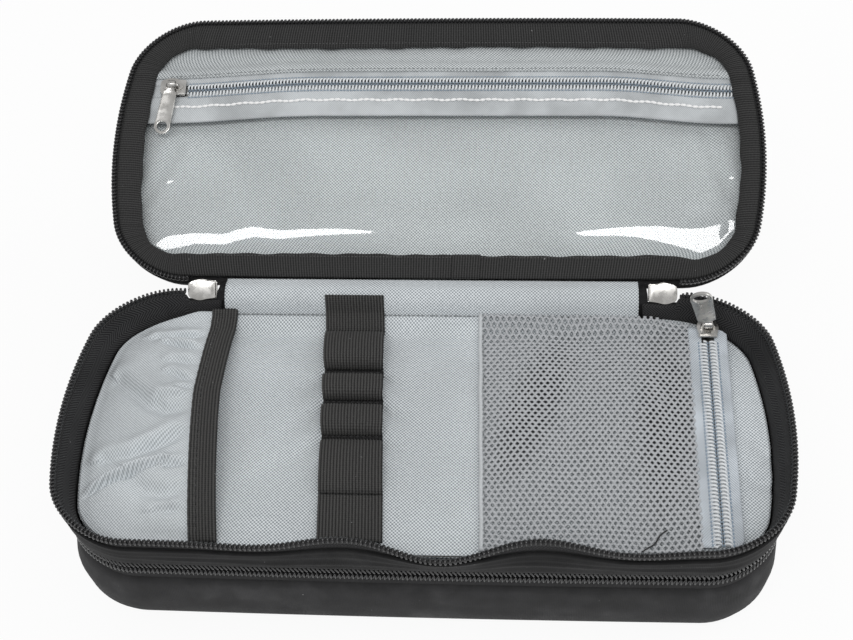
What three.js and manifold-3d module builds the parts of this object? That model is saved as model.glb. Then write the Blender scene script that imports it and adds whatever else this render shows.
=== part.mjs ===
import * as THREE from 'three';
import { mergeVertices } from 'three/addons/utils/BufferGeometryUtils.js';
import Module from 'manifold-3d';

const wasm = await Module();
wasm.setup();

// A zipped soft case lying open: a tub, a tray hinged on it and a lid hinged on the tray. Millimetres, +Z up,
// front towards -Y. The origin is the centre of the tub's flat bottom.

// Outline of the case from above.
const CASE_WIDTH = 220;
const CASE_DEPTH = 98;
const CORNER_RADIUS = 20;
const END_BOW = 8.5;
const SIDE_BOW = 0.8;

// Heights and depths.
const RIM_HEIGHT = 52;
const FLOOR_DEPTH = 11.8;
const FLOOR_CROWN = 2.2;
const LID_DEPTH = 14;
const LID_OPEN_DEG = 157.3;

// Gaps left between pieces that are sewn or laid together, and round pieces that run past each other.
const SEAM_GAP = 0.3;
const RUN_GAP = 0.25;

// Padded walls and boards.
const SHELL_WALL = 3;
const SHELL_INSET = 3;
const SHELL_FILLET = 12;
const LID_WALL = 2.5;
const LID_INSET = 0.8;
const LID_FILLET = 8;
const LID_RIM = 5.5;
const BOTTOM_BOARD_THICKNESS = 2;
const BOARD_THICKNESS = 1;
const BOARD_MARGIN = 6.4;
const LINING_THICKNESS = 0.6;
const PAD_EDGE = 0.8;
const PAD_INSET = 5.6;

// Main zip.
const COIL_WIDTH = 1.9;
const COIL_HEIGHT = 2.1;
const CLOSING_GAP = 0.2;
const TAPE_THICKNESS = 0.8;
const TAPE_TOP_INSET = 0.8;
const TAPE_LEAN = 3.6;
const MAIN_ZIP_END = 67.5;
const MAIN_ZIP_NOTCH = 80;
const NOTCH_DEPTH = 6;
const BAND_DROP = 5.2;
const BAND_TOP_INSET = 0.5;
const BAND_FOOT_INSET = 2;
const BAND_TOP_THICKNESS = 0.9;
const BAND_FOOT_THICKNESS = 1.6;

// In and out wave of the slack front rim.
const WAVE_RISE = 4.4;
const WAVE_LENGTH = 60;
const WAVE_CREST = 7.5;
const WAVE_MIDDLE = 12;
const WAVE_REACH = 85;
const WAVE_POWER = 1.3;

// Side zip between tub and tray.
const SIDE_COIL_WIDTH = 1.2;
const SIDE_COIL_HEIGHT = 2.6;
const SIDE_COIL_INSET = 2.4;
const SIDE_TAPE_THICKNESS = 0.6;
const SIDE_TAPE_LENGTH = 7;
const SIDE_ZIP_END = 50;
const SIDE_SLIDER_X = 56.5;

// Sliders and pulls.
const SLIDER_LENGTH = 9;
const SLIDER_WIDTH = 6.2;
const SLIDER_PLATE = 0.8;
const SLIDER_MOUTH = 2.4;
const SLIDER_WEB = 0.3;
const SLIDER_WEB_LENGTH = 3.2;
const SHIELD_TAIL_WIDTH = 4.5;
const SHIELD_WAIST_WIDTH = 5;
const SHIELD_NOSE_WIDTH = 4.7;
const SHIELD_WAIST = 1.8;
const SHIELD_SHOULDER = 0.7;
const SHIELD_BEND = 0.4;
const BAIL_POST = 0.8;
const BAIL_RADIUS = 0.5;
const EYE_BORE = 0.8;
const EYE_RADIUS = 1.45;
const EYE_WIDTH = 2.6;
const PULL_LENGTH = 18;
const MAIN_PULL_LENGTH = 17;
const PULL_WIDTH = 6;
const PULL_THICKNESS = 1.1;
const PULL_HOLE = 1.6;
const MAIN_SLIDER_X = 74.5;
const MAIN_SLIDER_DROP = 1.9;
const MAIN_SLIDER_TILT_DEG = 45;

// Lid lining, binding and window pocket. The pocket's zip is placed from the lid's front edge, and the rest of the
// pocket from the zip.
const BINDING_OUTER_INSET = 2;
const BINDING_WIDTH = 8.5;
const BINDING_THICKNESS = 1.2;
const BINDING_CROWN = 0.6;
const BINDING_LIFT = 1;
const BINDING_SLOPE = 1;
const WINDOW_DEPTH = 4.4;
const WINDOW_THICKNESS = 0.5;
const WINDOW_INSET = 4.5;
const WINDOW_ZIP_DOWN = 26;
const WINDOW_SEAM = 6;
const TOP_STRIP_SEAM = 5.6;
const WINDOW_TAPE_LOWER = 12;
const WINDOW_TAPE_UPPER = 7.4;
const WINDOW_ZIP_INSET = 9.3;
const WINDOW_SAG = 2;
const WINDOW_SAG_FOOT = 10.5;
const WINDOW_SAG_HEAD = 19.5;
const WINDOW_PULL_LEAN_DEG = -10;
const WINDOW_PULL_DIP_DEG = 9;
const LID_LINING_DEPTH = 8.2;
const LID_LINING_MARGIN = 2;

// Pocket zips.
const CHAIN_GAP = 0.9;
const POCKET_COIL_WIDTH = 1.85;
const POCKET_COIL_HEIGHT = 1.9;
const POCKET_TAPE_THICKNESS = 0.6;

// Gathered end pocket and its elastic.
const POCKET_INSET = 6.2;
const POCKET_MARGIN = 7.5;
const POCKET_LENGTH = 41;
const POCKET_MOUTH_SLOPE = -0.071;
const POCKET_RISE = 6;
const POCKET_FABRIC = 0.8;
const POCKET_POWER = 1.4;
const ARCH_POWER = 0.7;
const GATHER_RISE = 0.8;
const GATHERS = 7;
const ELASTIC_WIDTH = 8;
const ELASTIC_THICKNESS = 1.4;

// Elastic with loops: how far its sewn lines lie from the back, and the height inside each loop between them.
const LOOP_BAND_WIDTH = 19;
const LOOP_BAND_X = -21.5;
const LOOP_BAND_SLOPE = -0.061;
const LOOP_BAND_THICKNESS = 1.1;
const LOOP_SEAMS = [7.8, 27, 38.9, 52.3, 73.3];
const LOOP_CLEAR = [4.8, 2.8, 2.4, 1.6];
const LOOP_TAIL_MARGIN = 9;

// Net pocket, with its zip placed from the right end of the case.
const MESH_LEFT = 17;
const MESH_MARGIN = 7;
const MESH_COLUMNS = 10;
const MESH_ROWS = 12;
const MESH_BAR = 1.6;
const MESH_THICKNESS = 0.8;
const MESH_BULGE = 1.6;
const MESH_RISE_POWER = 3;
const MESH_ZIP_FROM_END = 22.6;
const MESH_ZIP_SLOPE = 0.022;
const MESH_ZIP_MARGIN = 8;
const MESH_ZIP_RISE = 3;
const MESH_TAPE_REACH = 6;
const MESH_SLIDER_LENGTH = 7;
const MESH_PULL_FORWARD_DEG = 8;
const MESH_PULL_LEAN_DEG = -15;

// Cloth hinges.
const HINGE_OFFSET = 1.8;
const HINGE_DROP = 1.6;
const HINGE_CLOTH = 0.7;
const HINGE_LINING_HALF = 66.8;
const HINGE_STRIP_HALF = 66;
const SIDE_HINGE_HALF = 49;

// Folds of the lining over the hinge: how far in from the back, and how far below the rim.
const HINGE_LINING_FOLDS = [[4, 8], [3.2, 5], [1.6, 3], [-1.6, 2]];
const HINGE_STRIP_REACH = 1.2;
const HINGE_STRIP_SAG = 4.4;

// Steps round the outline, along each form and round each curve.
const CORNER_STEPS = 4;
const END_STEPS = 3;
const BACK_STEPS = 2;
const FRONT_STEPS = 10;
const FINE_FRONT_STEPS = 30;
const FILLET_STEPS = 3;
const CURVE_STEPS = 5;
const BAIL_SIDES = 8;
const NOSE_STEPS = 6;
const POCKET_STEPS = 8;
const GATHER_STEPS = 4;
const LOOP_STEPS = 6;
const TAIL_STEPS = 3;

// Levels worked out from the sizes above.
const CORE_X = CASE_WIDTH / 2 - END_BOW;
const CORE_Y = CASE_DEPTH / 2 - SIDE_BOW;
const STRAIGHT_X = CORE_X - CORNER_RADIUS;
const STRAIGHT_Y = CORE_Y - CORNER_RADIUS;
const BACK = CASE_DEPTH / 2;
const FLOOR_EDGE = RIM_HEIGHT - FLOOR_DEPTH;
const PAD_BOTTOM = FLOOR_EDGE - PAD_EDGE;
const TRAY_BOARD_BOTTOM = PAD_BOTTOM - SEAM_GAP - BOARD_THICKNESS;
const TRAY_BOTTOM = TRAY_BOARD_BOTTOM - SEAM_GAP - LINING_THICKNESS;
const SIDE_ZIP_HEIGHT = TRAY_BOTTOM - SEAM_GAP - SLIDER_WIDTH / 2;
const SHELL_HEIGHT = SIDE_ZIP_HEIGHT - SIDE_TAPE_LENGTH;
const COIL_FOOT = RIM_HEIGHT - CLOSING_GAP - COIL_HEIGHT;
const TAPE_TOP = COIL_FOOT - SEAM_GAP;
const BAND_TOP = RIM_HEIGHT - BAND_DROP;
const BAND_FOOT = TRAY_BOTTOM + SEAM_GAP;
const BAND_INNER_FOOT = BAND_FOOT_INSET + BAND_FOOT_THICKNESS;
const SIDE_TAPE_INSET = SIDE_COIL_INSET + SIDE_COIL_WIDTH + RUN_GAP;
const WAVE_FOOT = SIDE_ZIP_HEIGHT + SIDE_COIL_HEIGHT + SEAM_GAP;
const HINGE_Y = BACK + HINGE_OFFSET;
const HINGE_Z = RIM_HEIGHT - HINGE_DROP;
const LID_ANGLE = THREE.MathUtils.degToRad(LID_OPEN_DEG);
const WINDOW_ZIP_UP = CASE_DEPTH - WINDOW_ZIP_DOWN;
const WINDOW_TOP = WINDOW_ZIP_UP - WINDOW_SEAM;
const TOP_STRIP_FOOT = WINDOW_ZIP_UP + TOP_STRIP_SEAM;
const WINDOW_TAPE_FOOT = WINDOW_ZIP_UP - WINDOW_TAPE_LOWER;
const WINDOW_TAPE_HEAD = WINDOW_ZIP_UP + WINDOW_TAPE_UPPER;
const POCKET_MOUTH_X = POCKET_LENGTH - CASE_WIDTH / 2;
const POCKET_HALF_LENGTH = BACK - POCKET_MARGIN;
const LOOP_TAIL_END = LOOP_TAIL_MARGIN - BACK;
const MESH_HALF_LENGTH = BACK - MESH_MARGIN;
const MESH_ZIP_X = CASE_WIDTH / 2 - MESH_ZIP_FROM_END;
const MESH_ZIP_HALF_LENGTH = BACK - MESH_ZIP_MARGIN;
const MESH_ZIP_HEIGHT = FLOOR_EDGE + MESH_ZIP_RISE;
const BAIL_HEIGHT = SLIDER_MOUTH / 2 + SLIDER_PLATE + EYE_RADIUS + SEAM_GAP;

const X_AXIS = new THREE.Vector3(1, 0, 0);

// Materials: one colour for each kind of cloth, plastic or metal.
const COLOURS = {
  shell: [0x2b2b2e, 0.85, 0],
  black: [0x1d1d1f, 0.9, 0],
  coil: [0x161618, 0.45, 0],
  elastic: [0x343331, 0.95, 0],
  lining: [0xa4abad, 0.9, 0],
  net: [0x7d8186, 0.85, 0],
  zip: [0x8f9aa5, 0.7, 0],
  paleCoil: [0xc4c9cd, 0.4, 0],
  clear: [0xdbe2e3, 0.08, 0],
  board: [0x8b8478, 0.95, 0],
  nickel: [0xbab8b3, 0.28, 1],
};

function piece(name, geometry, look) {
  const [color, roughness, metalness] = COLOURS[look];
  const material = new THREE.MeshStandardMaterial({ color, roughness, metalness });
  const mesh = new THREE.Mesh(geometry, material);
  mesh.name = name;
  return mesh;
}

// A closed geometry from points and triangles, turned so that its faces point out.
function closedGeometry(points, triangles) {
  let volume = 0;
  for (const [a, b, c] of triangles) {
    volume += points[a].dot(new THREE.Vector3().crossVectors(points[b], points[c]));
  }
  const order = volume > 0 ? triangles : triangles.map(([a, b, c]) => [a, c, b]);
  const geometry = new THREE.BufferGeometry();
  geometry.setFromPoints(points);
  geometry.setIndex(order.flat());
  geometry.computeVertexNormals();
  return geometry;
}

// Stops on the way round the outline, from the back left by the left end, the front and the right end to the
// back right. Each is a point of the inner rectangle and the way out from it. An open run lists its stops along
// the back, at its left and its right end, by their distance from the middle.
function outlineStops({ front = FRONT_STEPS, backLeft = [], backRight = [] } = {}) {
  const open = backLeft.length > 0;
  const stops = [];
  const stop = (x, y, nx, ny) => stops.push({ x, y, nx, ny });
  const side = (from, to, nx, ny, steps) => {
    for (let i = 0; i < steps; i++) {
      const t = i / steps;
      stop(from[0] + (to[0] - from[0]) * t, from[1] + (to[1] - from[1]) * t, nx, ny);
    }
  };
  const corner = (sx, sy, start) => {
    for (let i = 0; i < CORNER_STEPS; i++) {
      const angle = start + (Math.PI / 2) * (i / CORNER_STEPS);
      stop(sx * STRAIGHT_X, sy * STRAIGHT_Y, Math.cos(angle), Math.sin(angle));
    }
  };
  if (open) {
    backLeft.forEach((x) => stop(-x, STRAIGHT_Y, 0, 1));
  } else {
    side([0, STRAIGHT_Y], [-STRAIGHT_X, STRAIGHT_Y], 0, 1, BACK_STEPS);
  }
  corner(-1, 1, Math.PI / 2);
  side([-STRAIGHT_X, STRAIGHT_Y], [-STRAIGHT_X, -STRAIGHT_Y], -1, 0, END_STEPS);
  corner(-1, -1, Math.PI);
  side([-STRAIGHT_X, -STRAIGHT_Y], [STRAIGHT_X, -STRAIGHT_Y], 0, -1, front);
  corner(1, -1, Math.PI * 1.5);
  side([STRAIGHT_X, -STRAIGHT_Y], [STRAIGHT_X, STRAIGHT_Y], 1, 0, END_STEPS);
  corner(1, 1, 0);
  if (open) {
    stop(STRAIGHT_X, STRAIGHT_Y, 0, 1);
    [...backRight].reverse().forEach((x) => stop(x, STRAIGHT_Y, 0, 1));
  } else {
    side([STRAIGHT_X, STRAIGHT_Y], [0, STRAIGHT_Y], 0, 1, BACK_STEPS);
  }
  return stops;
}

// How far the slack front rim stands out at this place, growing from the side zip up to the rim.
function waveOut(x, z) {
  const height = (z - WAVE_FOOT) / (RIM_HEIGHT - WAVE_FOOT);
  if (height <= 0) {
    return 0;
  }
  const along = THREE.MathUtils.clamp((x - WAVE_MIDDLE) / WAVE_REACH, -1, 1);
  const envelope = Math.cos((Math.PI / 2) * along) ** 2;
  const wave = Math.cos((2 * Math.PI * (x - WAVE_CREST)) / WAVE_LENGTH);
  return WAVE_RISE * envelope * wave * height ** WAVE_POWER;
}

// The point of the outline at a stop, moved in by an inset, with the ends and sides bowed out.
function outlinePoint(stop, inset, z, waved = false) {
  const reach = CORNER_RADIUS - inset;
  const x = stop.x + stop.nx * reach;
  const y = stop.y + stop.ny * reach;
  const bowedX = x * (1 + (END_BOW / CORE_X) * (1 - (y / CORE_Y) ** 2));
  const bowedY = y * (1 + (SIDE_BOW / CORE_Y) * (1 - (x / CORE_X) ** 2));
  const wave = waved ? waveOut(bowedX, z) * Math.max(0, -stop.ny) : 0;
  return new THREE.Vector3(bowedX, bowedY - wave, z);
}

function outlinePolygon(inset) {
  return outlineStops().map((stop) => outlinePoint(stop, inset, 0));
}

// A section carried along the outline: a closed ring, or an open run with flat ends. A section is a list of
// [inset, height] points, or a function of the stop that gives one.
function sweep(section, stops, { ring = true, waved = false } = {}) {
  const sectionAt = typeof section === 'function' ? section : () => section;
  const points = [];
  for (const stop of stops) {
    for (const [inset, z] of sectionAt(stop)) {
      points.push(outlinePoint(stop, inset, z, waved));
    }
  }
  const count = sectionAt(stops[0]).length;
  const triangles = [];
  const last = ring ? stops.length : stops.length - 1;
  for (let i = 0; i < last; i++) {
    const here = i * count;
    const next = ((i + 1) % stops.length) * count;
    for (let j = 0; j < count; j++) {
      const k = (j + 1) % count;
      triangles.push([here + j, next + j, next + k], [here + j, next + k, here + k]);
    }
  }
  if (!ring) {
    const end = (stops.length - 1) * count;
    for (let j = 1; j < count - 1; j++) {
      triangles.push([0, j, j + 1], [end, end + j + 1, end + j]);
    }
  }
  return closedGeometry(points, triangles);
}

// A closed body from loops of points, one above the other, with a fan over the first and the last loop.
function loft(loops) {
  const count = loops[0].length;
  const points = loops.flat();
  const triangles = [];
  for (let i = 0; i < loops.length - 1; i++) {
    for (let j = 0; j < count; j++) {
      const k = (j + 1) % count;
      const here = i * count;
      const next = here + count;
      triangles.push([here + j, here + k, next + k], [here + j, next + k, next + j]);
    }
  }
  const middle = (loop) => loop.reduce((sum, p) => sum.add(p), new THREE.Vector3()).divideScalar(count);
  const first = points.push(middle(loops[0])) - 1;
  const last = points.push(middle(loops[loops.length - 1])) - 1;
  const end = (loops.length - 1) * count;
  for (let j = 0; j < count; j++) {
    const k = (j + 1) % count;
    triangles.push([first, k, j], [last, end + j, end + k]);
  }
  return closedGeometry(points, triangles);
}

function plate(polygon, bottom, top) {
  const at = (z) => polygon.map((p) => new THREE.Vector3(p.x, p.y, z));
  return loft([at(bottom), at(top)]);
}

// A tub with a filleted floor: rings go up the outside, over the rim and down the inside. A rim below the floor
// turns it upside down.
function tub({ inset, floor, rim, wall, base, fillet }) {
  const up = Math.sign(rim - floor);
  const ringAt = (n, z) => outlineStops().map((stop) => outlinePoint(stop, n, z));
  const bend = (startInset, startZ, radius) => {
    const rings = [];
    for (let i = 0; i <= FILLET_STEPS; i++) {
      const angle = (Math.PI / 2) * (i / FILLET_STEPS);
      const n = startInset + radius * (1 - Math.sin(angle));
      rings.push(ringAt(n, startZ + up * radius * (1 - Math.cos(angle))));
    }
    return rings;
  };
  const outer = bend(inset, floor, fillet);
  const inner = bend(inset + wall, floor + up * base, fillet - wall);
  const edge = [ringAt(inset, rim), ringAt(inset + wall, rim)];
  return loft([...outer, ...edge, ...inner.reverse()]);
}

// A sheet between two surfaces over the same grid.
function sheet(columns, rows, topAt, bottomAt) {
  const points = [];
  const grid = (at) => {
    const start = points.length;
    for (let i = 0; i <= columns; i++) {
      for (let j = 0; j <= rows; j++) {
        points.push(at(i / columns, j / rows));
      }
    }
    return (i, j) => start + i * (rows + 1) + j;
  };
  const top = grid(topAt);
  const bottom = grid(bottomAt);
  const triangles = [];
  const quad = (a, b, c, d) => triangles.push([a, b, c], [a, c, d]);
  for (let i = 0; i < columns; i++) {
    for (let j = 0; j < rows; j++) {
      quad(top(i, j), top(i + 1, j), top(i + 1, j + 1), top(i, j + 1));
      quad(bottom(i, j), bottom(i, j + 1), bottom(i + 1, j + 1), bottom(i + 1, j));
    }
    quad(top(i + 1, 0), top(i, 0), bottom(i, 0), bottom(i + 1, 0));
    quad(top(i, rows), top(i + 1, rows), bottom(i + 1, rows), bottom(i, rows));
  }
  for (let j = 0; j < rows; j++) {
    quad(top(0, j), top(0, j + 1), bottom(0, j + 1), bottom(0, j));
    quad(top(columns, j + 1), top(columns, j), bottom(columns, j), bottom(columns, j + 1));
  }
  return closedGeometry(points, triangles);
}

// The convex polygon that a four-cornered patch and the outline at an inset share.
function patchWithin(inset, corners) {
  let polygon = corners.map(([x, y]) => new THREE.Vector3(x, y, 0));
  const edges = outlinePolygon(inset);
  for (let i = 0; i < edges.length; i++) {
    const a = edges[i];
    const b = edges[(i + 1) % edges.length];
    const side = (p) => (b.x - a.x) * (p.y - a.y) - (b.y - a.y) * (p.x - a.x);
    const kept = [];
    polygon.forEach((p, k) => {
      const q = polygon[(k + 1) % polygon.length];
      if (side(p) >= 0) {
        kept.push(p);
      }
      if (side(p) * side(q) < 0) {
        kept.push(p.clone().lerp(q, side(p) / (side(p) - side(q))));
      }
    });
    polygon = kept;
  }
  return polygon;
}

// A strip of cloth along X: points are [y, z] on its face, and its back lies the thickness away, to the right
// of the way the points run.
function clothStrip(profile, thickness, xAt) {
  const back = profile.map((p, i) => {
    const a = profile[Math.max(0, i - 1)];
    const b = profile[Math.min(profile.length - 1, i + 1)];
    const length = Math.hypot(b[0] - a[0], b[1] - a[1]);
    return [p[0] + ((b[1] - a[1]) / length) * thickness, p[1] - ((b[0] - a[0]) / length) * thickness];
  });
  const pick = (line, u) => line[Math.round(u * (profile.length - 1))];
  const at = (line) => (u, v) => {
    const [y, z] = pick(line, u);
    return new THREE.Vector3(xAt(v, y), y, z);
  };
  return sheet(profile.length - 1, 1, at(profile), at(back));
}

// The crowned floor of the tray, and its height at a point.
const CROWN_RINGS = [1, 0.75, 0.45];
const crownAt = (share) => FLOOR_EDGE + FLOOR_CROWN * (1 - share ** 2);

function floorPad() {
  const edge = outlinePolygon(PAD_INSET);
  const ring = (share, z) => edge.map((p) => new THREE.Vector3(p.x * share, p.y * share, z));
  return loft([ring(1, PAD_BOTTOM), ...CROWN_RINGS.map((share) => ring(share, crownAt(share)))]);
}

function floorTop(x, y) {
  const edge = outlinePolygon(PAD_INSET);
  let share = 0;
  edge.forEach((a, i) => {
    const b = edge[(i + 1) % edge.length];
    const normal = [b.y - a.y, a.x - b.x];
    share = Math.max(share, (x * normal[0] + y * normal[1]) / (a.x * normal[0] + a.y * normal[1]));
  });
  const [outer, middle, inner] = CROWN_RINGS;
  if (share <= inner) {
    return crownAt(inner);
  }
  const [far, near] = share > middle ? [outer, middle] : [middle, inner];
  const t = Math.min(1, (share - near) / (far - near));
  return crownAt(near) + (crownAt(far) - crownAt(near)) * t;
}

// Solids for joining and cutting.
function solid(geometry) {
  const bare = geometry.clone();
  bare.deleteAttribute('normal');
  bare.deleteAttribute('uv');
  const merged = mergeVertices(bare, 1e-4);
  return new wasm.Manifold(new wasm.Mesh({
    numProp: 3,
    vertProperties: new Float32Array(merged.attributes.position.array),
    triVerts: new Uint32Array(merged.index.array),
  }));
}

function geometryOf(manifold) {
  const mesh = manifold.getMesh();
  const geometry = new THREE.BufferGeometry();
  geometry.setAttribute('position', new THREE.BufferAttribute(new Float32Array(mesh.vertProperties), 3));
  geometry.setIndex(new THREE.BufferAttribute(new Uint32Array(mesh.triVerts), 1));
  geometry.computeVertexNormals();
  return geometry;
}

function box(x0, x1, y0, y1, z0, z1) {
  const geometry = new THREE.BoxGeometry(x1 - x0, y1 - y0, z1 - z0);
  geometry.translate((x0 + x1) / 2, (y0 + y1) / 2, (z0 + z1) / 2);
  return solid(geometry);
}

function extruded(shape, depth) {
  return new THREE.ExtrudeGeometry(shape, { depth, bevelEnabled: false, curveSegments: CURVE_STEPS });
}

// A zip slider. Its chain runs along X with the nose at +X, the bail stands on the +Z plate, and the two plates
// are joined by a web in the middle of the chain. The bail's bar lies along the chain or across it.
function sliderGeometry(length, across) {
  const half = SLIDER_WIDTH / 2;
  const end = length / 2;
  const shield = new THREE.Shape();
  shield.moveTo(-end, -SHIELD_TAIL_WIDTH / 2);
  shield.lineTo(-SHIELD_WAIST, -SHIELD_WAIST_WIDTH / 2);
  shield.quadraticCurveTo(-SHIELD_BEND, -half, SHIELD_SHOULDER, -half);
  shield.quadraticCurveTo(end, -SHIELD_NOSE_WIDTH / 2, end, 0);
  shield.quadraticCurveTo(end, SHIELD_NOSE_WIDTH / 2, SHIELD_SHOULDER, half);
  shield.quadraticCurveTo(-SHIELD_BEND, half, -SHIELD_WAIST, SHIELD_WAIST_WIDTH / 2);
  shield.lineTo(-end, SHIELD_TAIL_WIDTH / 2);
  shield.closePath();
  const face = SLIDER_MOUTH / 2;
  const top = extruded(shield, SLIDER_PLATE).translate(0, 0, face);
  const bottom = extruded(shield, SLIDER_PLATE).translate(0, 0, -face - SLIDER_PLATE);
  const sink = SLIDER_PLATE / 2;
  const web = box(0, SLIDER_WEB_LENGTH, -SLIDER_WEB / 2, SLIDER_WEB / 2, -face - sink, face + sink);
  const inner = EYE_WIDTH / 2 + SEAM_GAP;
  const outer = inner + BAIL_POST;
  const postFoot = face + sink;
  const postTop = BAIL_HEIGHT + BAIL_RADIUS;
  const depth = BAIL_RADIUS;
  const rod = new THREE.CylinderGeometry(BAIL_RADIUS, BAIL_RADIUS, inner + outer, BAIL_SIDES);
  const bar = solid(rod.rotateZ(Math.PI / 2).translate(0, 0, BAIL_HEIGHT));
  let bail = bar.add(box(-outer, -inner, -depth, depth, postFoot, postTop));
  bail = bail.add(box(inner, outer, -depth, depth, postFoot, postTop));
  const turned = across ? bail.rotate([0, 0, 90]) : bail;
  return geometryOf(solid(top).add(solid(bottom)).add(web).add(turned));
}

// A pull with a rolled eye round the bail. The eye's axis is X and the tongue hangs along -Y, leaning sideways
// by an angle.
function pullGeometry(length, lean) {
  const ring = new THREE.Shape();
  ring.absarc(0, 0, EYE_RADIUS, 0, Math.PI * 2, false);
  const bore = new THREE.Path();
  bore.absarc(0, 0, EYE_BORE, 0, Math.PI * 2, true);
  ring.holes.push(bore);
  const eye = extruded(ring, EYE_WIDTH).translate(0, 0, -EYE_WIDTH / 2).rotateY(Math.PI / 2);
  const half = PULL_WIDTH / 2;
  const neck = EYE_WIDTH / 2;
  const start = -(EYE_BORE + EYE_RADIUS) / 2;
  const tongue = new THREE.Shape();
  tongue.moveTo(-neck, start);
  tongue.lineTo(-neck, -EYE_RADIUS - neck);
  tongue.lineTo(-half, -EYE_RADIUS - PULL_WIDTH);
  tongue.lineTo(-half, -length + half);
  tongue.quadraticCurveTo(-half, -length, 0, -length);
  tongue.quadraticCurveTo(half, -length, half, -length + half);
  tongue.lineTo(half, -EYE_RADIUS - PULL_WIDTH);
  tongue.lineTo(neck, -EYE_RADIUS - neck);
  tongue.lineTo(neck, start);
  tongue.closePath();
  const hole = new THREE.Path();
  hole.absarc(0, -length + half + SEAM_GAP, PULL_HOLE, 0, Math.PI * 2, true);
  tongue.holes.push(hole);
  const blade = extruded(tongue, PULL_THICKNESS).translate(0, 0, -PULL_THICKNESS / 2).rotateZ(lean);
  return geometryOf(solid(eye).add(solid(blade)));
}

// Places a mesh with its X and Z axes along two directions.
function place(mesh, position, xWay, zWay) {
  const yWay = new THREE.Vector3().crossVectors(zWay, xWay);
  mesh.quaternion.setFromRotationMatrix(new THREE.Matrix4().makeBasis(xWay, yWay, zWay));
  mesh.position.copy(position);
  return mesh;
}

// Hangs a pull at its eye, with the tongue pointing the given way in the YZ plane.
function hangPull(name, pivot, way, length, lean = 0) {
  const mesh = piece(name, pullGeometry(length, lean), 'nickel');
  const zWay = new THREE.Vector3().crossVectors(X_AXIS, way.clone().negate());
  return place(mesh, pivot, X_AXIS, zWay);
}

// Lower case.
function lowerCase() {
  const group = new THREE.Group();
  const shell = tub({
    inset: SHELL_INSET, floor: 0, rim: SHELL_HEIGHT, wall: SHELL_WALL, base: SHELL_WALL, fillet: SHELL_FILLET,
  });
  group.add(piece('lower_shell', shell, 'shell'));
  const boardBottom = SHELL_WALL + SEAM_GAP;
  const boardInset = SHELL_INSET + SHELL_FILLET + SEAM_GAP;
  const boardTop = boardBottom + BOTTOM_BOARD_THICKNESS;
  const board = plate(outlinePolygon(boardInset), boardBottom, boardTop);
  group.add(piece('bottom_board', board, 'board'));
  const lining = tub({
    inset: SHELL_INSET + SHELL_WALL + SEAM_GAP,
    floor: boardTop + SEAM_GAP,
    rim: SHELL_HEIGHT - SEAM_GAP,
    wall: LINING_THICKNESS,
    base: LINING_THICKNESS,
    fillet: SHELL_FILLET - SHELL_WALL - LINING_THICKNESS,
  });
  group.add(piece('lower_lining', lining, 'lining'));
  const stops = outlineStops({ backLeft: [SIDE_ZIP_END], backRight: [SIDE_ZIP_END] });
  const coilTop = SIDE_ZIP_HEIGHT - SEAM_GAP;
  const tape = sideTape(stops, SHELL_HEIGHT + SEAM_GAP, coilTop - RUN_GAP);
  group.add(piece('lower_zip_tape_lower', tape, 'black'));
  const coil = sideCoil(stops, coilTop - SIDE_COIL_HEIGHT, coilTop);
  group.add(piece('lower_zip_coil_lower', coil, 'coil'));
  group.add(sideSlider());
  group.add(sidePull());
  return group;
}

function sideTape(stops, bottom, top) {
  const inner = SIDE_TAPE_INSET + SIDE_TAPE_THICKNESS;
  const section = [[SIDE_TAPE_INSET, bottom], [SIDE_TAPE_INSET, top], [inner, top], [inner, bottom]];
  return sweep(section, stops, { ring: false });
}

function sideCoil(stops, bottom, top) {
  const inner = SIDE_COIL_INSET + SIDE_COIL_WIDTH;
  const section = [[SIDE_COIL_INSET, bottom], [SIDE_COIL_INSET, top], [inner, top], [inner, bottom]];
  return sweep(section, stops, { ring: false });
}

const SIDE_CHAIN_INSET = (SIDE_COIL_INSET + SIDE_TAPE_INSET + SIDE_TAPE_THICKNESS) / 2;
const SIDE_SLIDER_STOP = { x: SIDE_SLIDER_X, y: STRAIGHT_Y, nx: 0, ny: 1 };
const SIDE_CHAIN_Y = outlinePoint(SIDE_SLIDER_STOP, SIDE_CHAIN_INSET, SIDE_ZIP_HEIGHT).y;

function sideSlider() {
  const mesh = piece('lower_zip_slider', sliderGeometry(SLIDER_LENGTH, false), 'nickel');
  const centre = new THREE.Vector3(SIDE_SLIDER_X, SIDE_CHAIN_Y, SIDE_ZIP_HEIGHT);
  return place(mesh, centre, new THREE.Vector3(-1, 0, 0), new THREE.Vector3(0, 1, 0));
}

function sidePull() {
  const pivot = new THREE.Vector3(SIDE_SLIDER_X, SIDE_CHAIN_Y + BAIL_HEIGHT, SIDE_ZIP_HEIGHT);
  return hangPull('lower_zip_pull', pivot, new THREE.Vector3(0, 0, -1), MAIN_PULL_LENGTH);
}

// Cloth hinge between the tub and the tray.
function sideHinge() {
  const tapeY = BACK - SIDE_TAPE_INSET;
  const profile = [
    [tapeY, SHELL_HEIGHT + SEAM_GAP],
    [tapeY + SIDE_COIL_WIDTH / 2, SIDE_ZIP_HEIGHT - SIDE_COIL_HEIGHT],
    [tapeY + SIDE_COIL_WIDTH / 2, SIDE_ZIP_HEIGHT],
    [BACK - BAND_INNER_FOOT - SEAM_GAP, BAND_FOOT + SEAM_GAP],
  ];
  const geometry = clothStrip(profile.reverse(), HINGE_CLOTH, (v) => SIDE_HINGE_HALF * (2 * v - 1));
  return piece('lower_hinge_strip', geometry, 'black');
}

// How far in the outer face of the tray's inner wall stands at a height.
function wallInset(z) {
  return TAPE_TOP_INSET + (TAPE_LEAN * (TAPE_TOP - z)) / (TAPE_TOP - PAD_BOTTOM);
}

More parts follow.
